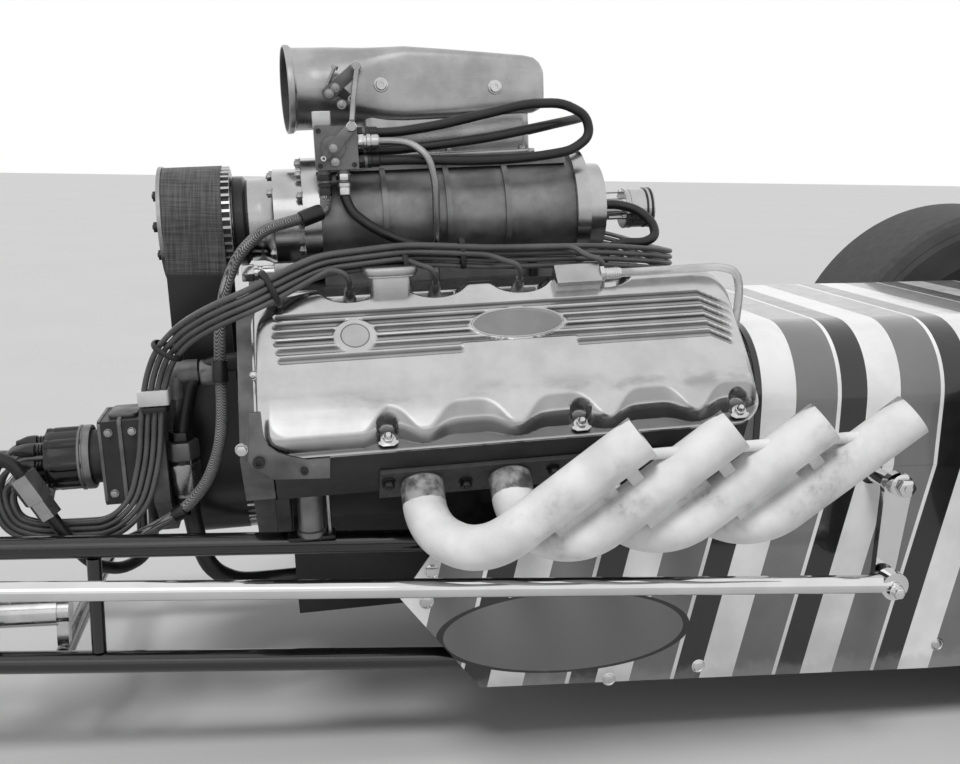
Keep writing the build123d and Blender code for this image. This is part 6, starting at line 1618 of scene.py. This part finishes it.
@dataclass
class Upholstery:
    """The soft parts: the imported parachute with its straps, and the pads in the seat."""

    voxel: float = 0.005
    pressure: float = 4.0
    frames: int = 20
    reach: float = 0.009

    def swell(self, piece: bpy.types.Object) -> None:
        """Remeshes the piece and lets cloth under pressure round it, within a limit."""
        Bench.pick(piece)
        remesh = piece.modifiers.new("even", "REMESH")
        remesh.mode = "VOXEL"
        remesh.voxel_size = self.voxel
        bpy.ops.object.modifier_apply(modifier=remesh.name)
        count = len(piece.data.vertices)
        rest = np.zeros(count * 3)
        piece.data.vertices.foreach_get("co", rest)
        rest = rest.reshape(-1, 3)
        cloth = piece.modifiers.new("cloth", "CLOTH")
        cloth.settings.use_pressure = True
        cloth.settings.uniform_pressure_force = self.pressure
        cloth.settings.effector_weights.gravity = 0
        for number in range(1, self.frames + 1):
            bpy.context.scene.frame_set(number)
        bpy.ops.object.modifier_apply(modifier=cloth.name)
        bpy.context.scene.frame_set(1)
        moved = np.zeros(count * 3)
        piece.data.vertices.foreach_get("co", moved)
        step = moved.reshape(-1, 3) - rest
        length = np.maximum(np.linalg.norm(step, axis=1, keepdims=True), 1e-9)
        piece.data.vertices.foreach_set("co", (rest + step * np.minimum(1, self.reach / length)).ravel())
        finer = piece.modifiers.new("finer", "SUBSURF")
        finer.levels = finer.render_levels = 1
        bpy.ops.object.modifier_apply(modifier=finer.name)

    def pad(self, name: str, low: Point, high: Point, round_by: float) -> bpy.types.Object:
        """A stuffed block between two corners, in the car's metres."""
        size = Vector(high) - Vector(low)
        outline = rounded_outline(size.y, size.z, round_by)
        block = Bench.prism(name, outline, size.x, round_by * 0.45, 3)
        turn = Matrix(((0, 0, 1, 0), (1, 0, 0, 0), (0, 1, 0, 0), (0, 0, 0, 1)))
        middle = Vector((low[0], (low[1] + high[1]) / 2, (low[2] + high[2]) / 2))
        Bench.place(block, car_frame() @ Matrix.Translation(middle) @ turn)
        self.swell(block)
        return block

    def pack(self) -> None:
        """The canvas pack, its straps and the anchor eye."""
        pack = self.pad("parachute_pack_canvas", (2876, -86, 350), (2934, 86, 510), 24)
        Bench.coat(pack, CANVAS)
        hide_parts("parachute_pack")
        Bench.fit(pack, CHASSIS, "pack_canvas", 60)
        straps = []
        for y in (-48, 48):
            loop = [(2868, y, 352), (2868, y, 508), (2880, y, 519), (2932, y, 519), (2944, y, 508), (2944, y, 352), (2932, y, 341), (2880, y, 341)]
            straps.append(self.strap(loop, 24))
        eye = Bench.prism("anchor_eye", rounded_outline(49, 50, 8), 10, 1.5)
        Bench.place(eye, Matrix.Translation((2890, 5, 316)) @ Matrix.Rotation(math.pi / 2, 4, "X"))
        ring = Bench.turned("anchor_ring", [(9, -7), (14, -7), (14, 7), (9, 7), (9, -7)], 32)
        Bench.place(ring, Matrix.Translation((2892, 0, 312)) @ Matrix.Rotation(math.pi / 2, 4, "X"))
        foot = Bench.prism("anchor_foot", rounded_outline(80, 18, 4), 7, 1)
        Bench.place(foot, Matrix.Translation((2866, 0, 331)) @ Matrix.Rotation(math.pi / 2, 4, "Y") @ Matrix.Rotation(math.pi / 2, 4, "Z"))
        parts = [Bench.coat(part, STEEL) for part in (eye, ring, foot)] + [Bench.coat(strap, HOSE) for strap in straps]
        Bench.fit(Bench.place(Bench.join("parachute_straps", parts), car_frame()), CHASSIS, "pack_canvas")

    @staticmethod
    def strap(loop: Sequence[Point], width: float) -> bpy.types.Object:
        """A flat band on a closed line in the x and z plane."""
        count = len(loop)
        points = [(x, y + side * width / 2, z) for x, y, z in loop for side in (-1, 1)]
        faces = [(2 * k, 2 * k + 1, 2 * ((k + 1) % count) + 1, 2 * ((k + 1) % count)) for k in range(count)]
        band = Bench.drawn("strap", points, (), faces)
        with Bench.editing(band):
            bpy.ops.mesh.subdivide(number_cuts=2)
            bpy.ops.mesh.normals_make_consistent(inside=False)
        solid = band.modifiers.new("thick", "SOLIDIFY")
        solid.thickness = 1.8
        Bench.pick(band)
        bpy.ops.object.modifier_apply(modifier=solid.name)
        return band

    def seat(self) -> None:
        """A back pad and a base pad in the seat shell."""
        back = self.pad("seat_back_pad", (2340, -165, 262), (2358, 165, 560), 14)
        base = self.pad("seat_base_pad", (2236, -168, 240), (2318, 168, 256), 6)
        for piece in (back, base):
            Bench.coat(piece, SEAT_VINYL)
            Bench.fit(piece, CHASSIS, "seat_shell", 60)

    def build(self) -> None:
        """Builds every soft part."""
        self.pack()
        self.seat()


@dataclass
class Studio:
    """The pale floor, soft light and the camera at the photograph's angle."""

    camera_place: Point = (0.5335, -1.7084, 0.8860)
    yaw: float = 9.746
    pitch: float = 12.197
    roll: float = 1.088
    lens: float = 40.5
    floor_size: float = 60
    floor_grey: float = 0.80
    world_light: float = 0.50
    sun_strength: float = 2.0
    sun_direction: Point = (0.25, 0.55, -1.0)
    sun_width: float = 18
    gloss_strength: float = 0.15
    gloss_direction: Point = (0.15, 0.75, -0.62)
    gloss_width: float = 30

    def camera(self) -> None:
        """Puts the camera where the photograph was taken from."""
        yaw, pitch, roll = (math.radians(angle) for angle in (self.yaw, self.pitch, self.roll))
        look = Vector((math.sin(yaw) * math.cos(pitch), math.cos(yaw) * math.cos(pitch), -math.sin(pitch)))
        right = Vector((math.cos(yaw), -math.sin(yaw), 0))
        up = right.cross(look)
        level, tall = right * math.cos(roll) + up * math.sin(roll), up * math.cos(roll) - right * math.sin(roll)
        data = bpy.data.cameras.new("camera")
        data.lens = self.lens
        data.sensor_width = 36
        camera = bpy.data.objects.new("camera", data)
        camera.matrix_world = Matrix.Translation(self.camera_place) @ Matrix((level, tall, -look)).transposed().to_4x4()
        bpy.context.scene.collection.objects.link(camera)
        bpy.context.scene.camera = camera

    def floor(self) -> None:
        """Lays a pale floor with a faint unevenness."""
        Bench.clear()
        bpy.ops.mesh.primitive_plane_add(size=self.floor_size)
        floor = bpy.context.view_layer.objects.active
        floor.name = "studio_floor"
        finish = Finish("studio_floor_grey", self.floor_grey, roughness=0.85, spread=0.03, mottle=0.006, patch=0.9, specular=0.15)
        Bench.coat(floor, finish)

    def light(self) -> None:
        """Soft light from all round with a broad sun from the front left."""
        scene = bpy.context.scene
        scene.view_settings.view_transform = "Standard"
        world = bpy.data.worlds.new("studio")
        world.use_nodes = True
        scene.world = world
        nodes, links = world.node_tree.nodes, world.node_tree.links
        path = nodes.new("ShaderNodeLightPath")
        seen = nodes.new("ShaderNodeMath")
        seen.operation = "MAXIMUM"
        links.new(path.outputs["Is Camera Ray"], seen.inputs[0])
        more = nodes.new("ShaderNodeMath")
        more.operation = "MAXIMUM"
        links.new(path.outputs["Is Glossy Ray"], more.inputs[0])
        links.new(path.outputs["Is Transmission Ray"], more.inputs[1])
        links.new(more.outputs[0], seen.inputs[1])
        strength = nodes.new("ShaderNodeMapRange")
        strength.inputs["To Min"].default_value = self.world_light
        strength.inputs["To Max"].default_value = 1.0
        links.new(seen.outputs[0], strength.inputs["Value"])
        background = nodes["Background"]
        background.inputs["Color"].default_value = (1, 1, 1, 1)
        links.new(strength.outputs[0], background.inputs["Strength"])
        self.lamp("sun", self.sun_strength, self.sun_width, self.sun_direction).visible_glossy = False
        self.lamp("gloss", self.gloss_strength, self.gloss_width, self.gloss_direction).visible_diffuse = False

    @staticmethod
    def lamp(name: str, strength: float, width: float, direction: Point) -> bpy.types.Object:
        """A broad far lamp, width degrees across, that shines along direction."""
        data = bpy.data.lights.new(name, "SUN")
        data.energy = strength
        data.angle = math.radians(width)
        lamp = bpy.data.objects.new(name, data)
        lamp.rotation_mode = "QUATERNION"
        lamp.rotation_quaternion = Vector(direction).to_track_quat("-Z", "Y")
        bpy.context.scene.collection.objects.link(lamp)
        return lamp

    def build(self) -> None:
        """Sets up the whole studio."""
        self.camera()
        self.floor()
        self.light()


def main() -> None:
    """Builds the studio and every piece."""
    logging.basicConfig(level=logging.INFO, format="%(message)s")
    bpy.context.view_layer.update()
    Studio().build()
    dress_nodes()
    for side in Side:
        CamCover(side).build()
        HeaderDetail(side).build()
        FrontPlateDetail(side).build()
        BodyDetail(side).build()
    InjectorHat().build()
    ValveDetail().build()
    BlowerDetail().build()
    MagnetoDetail().build()
    LineDetail().build()
    SteeringDetail().build()
    Upholstery().build()


if __name__ == "__main__":
    main()
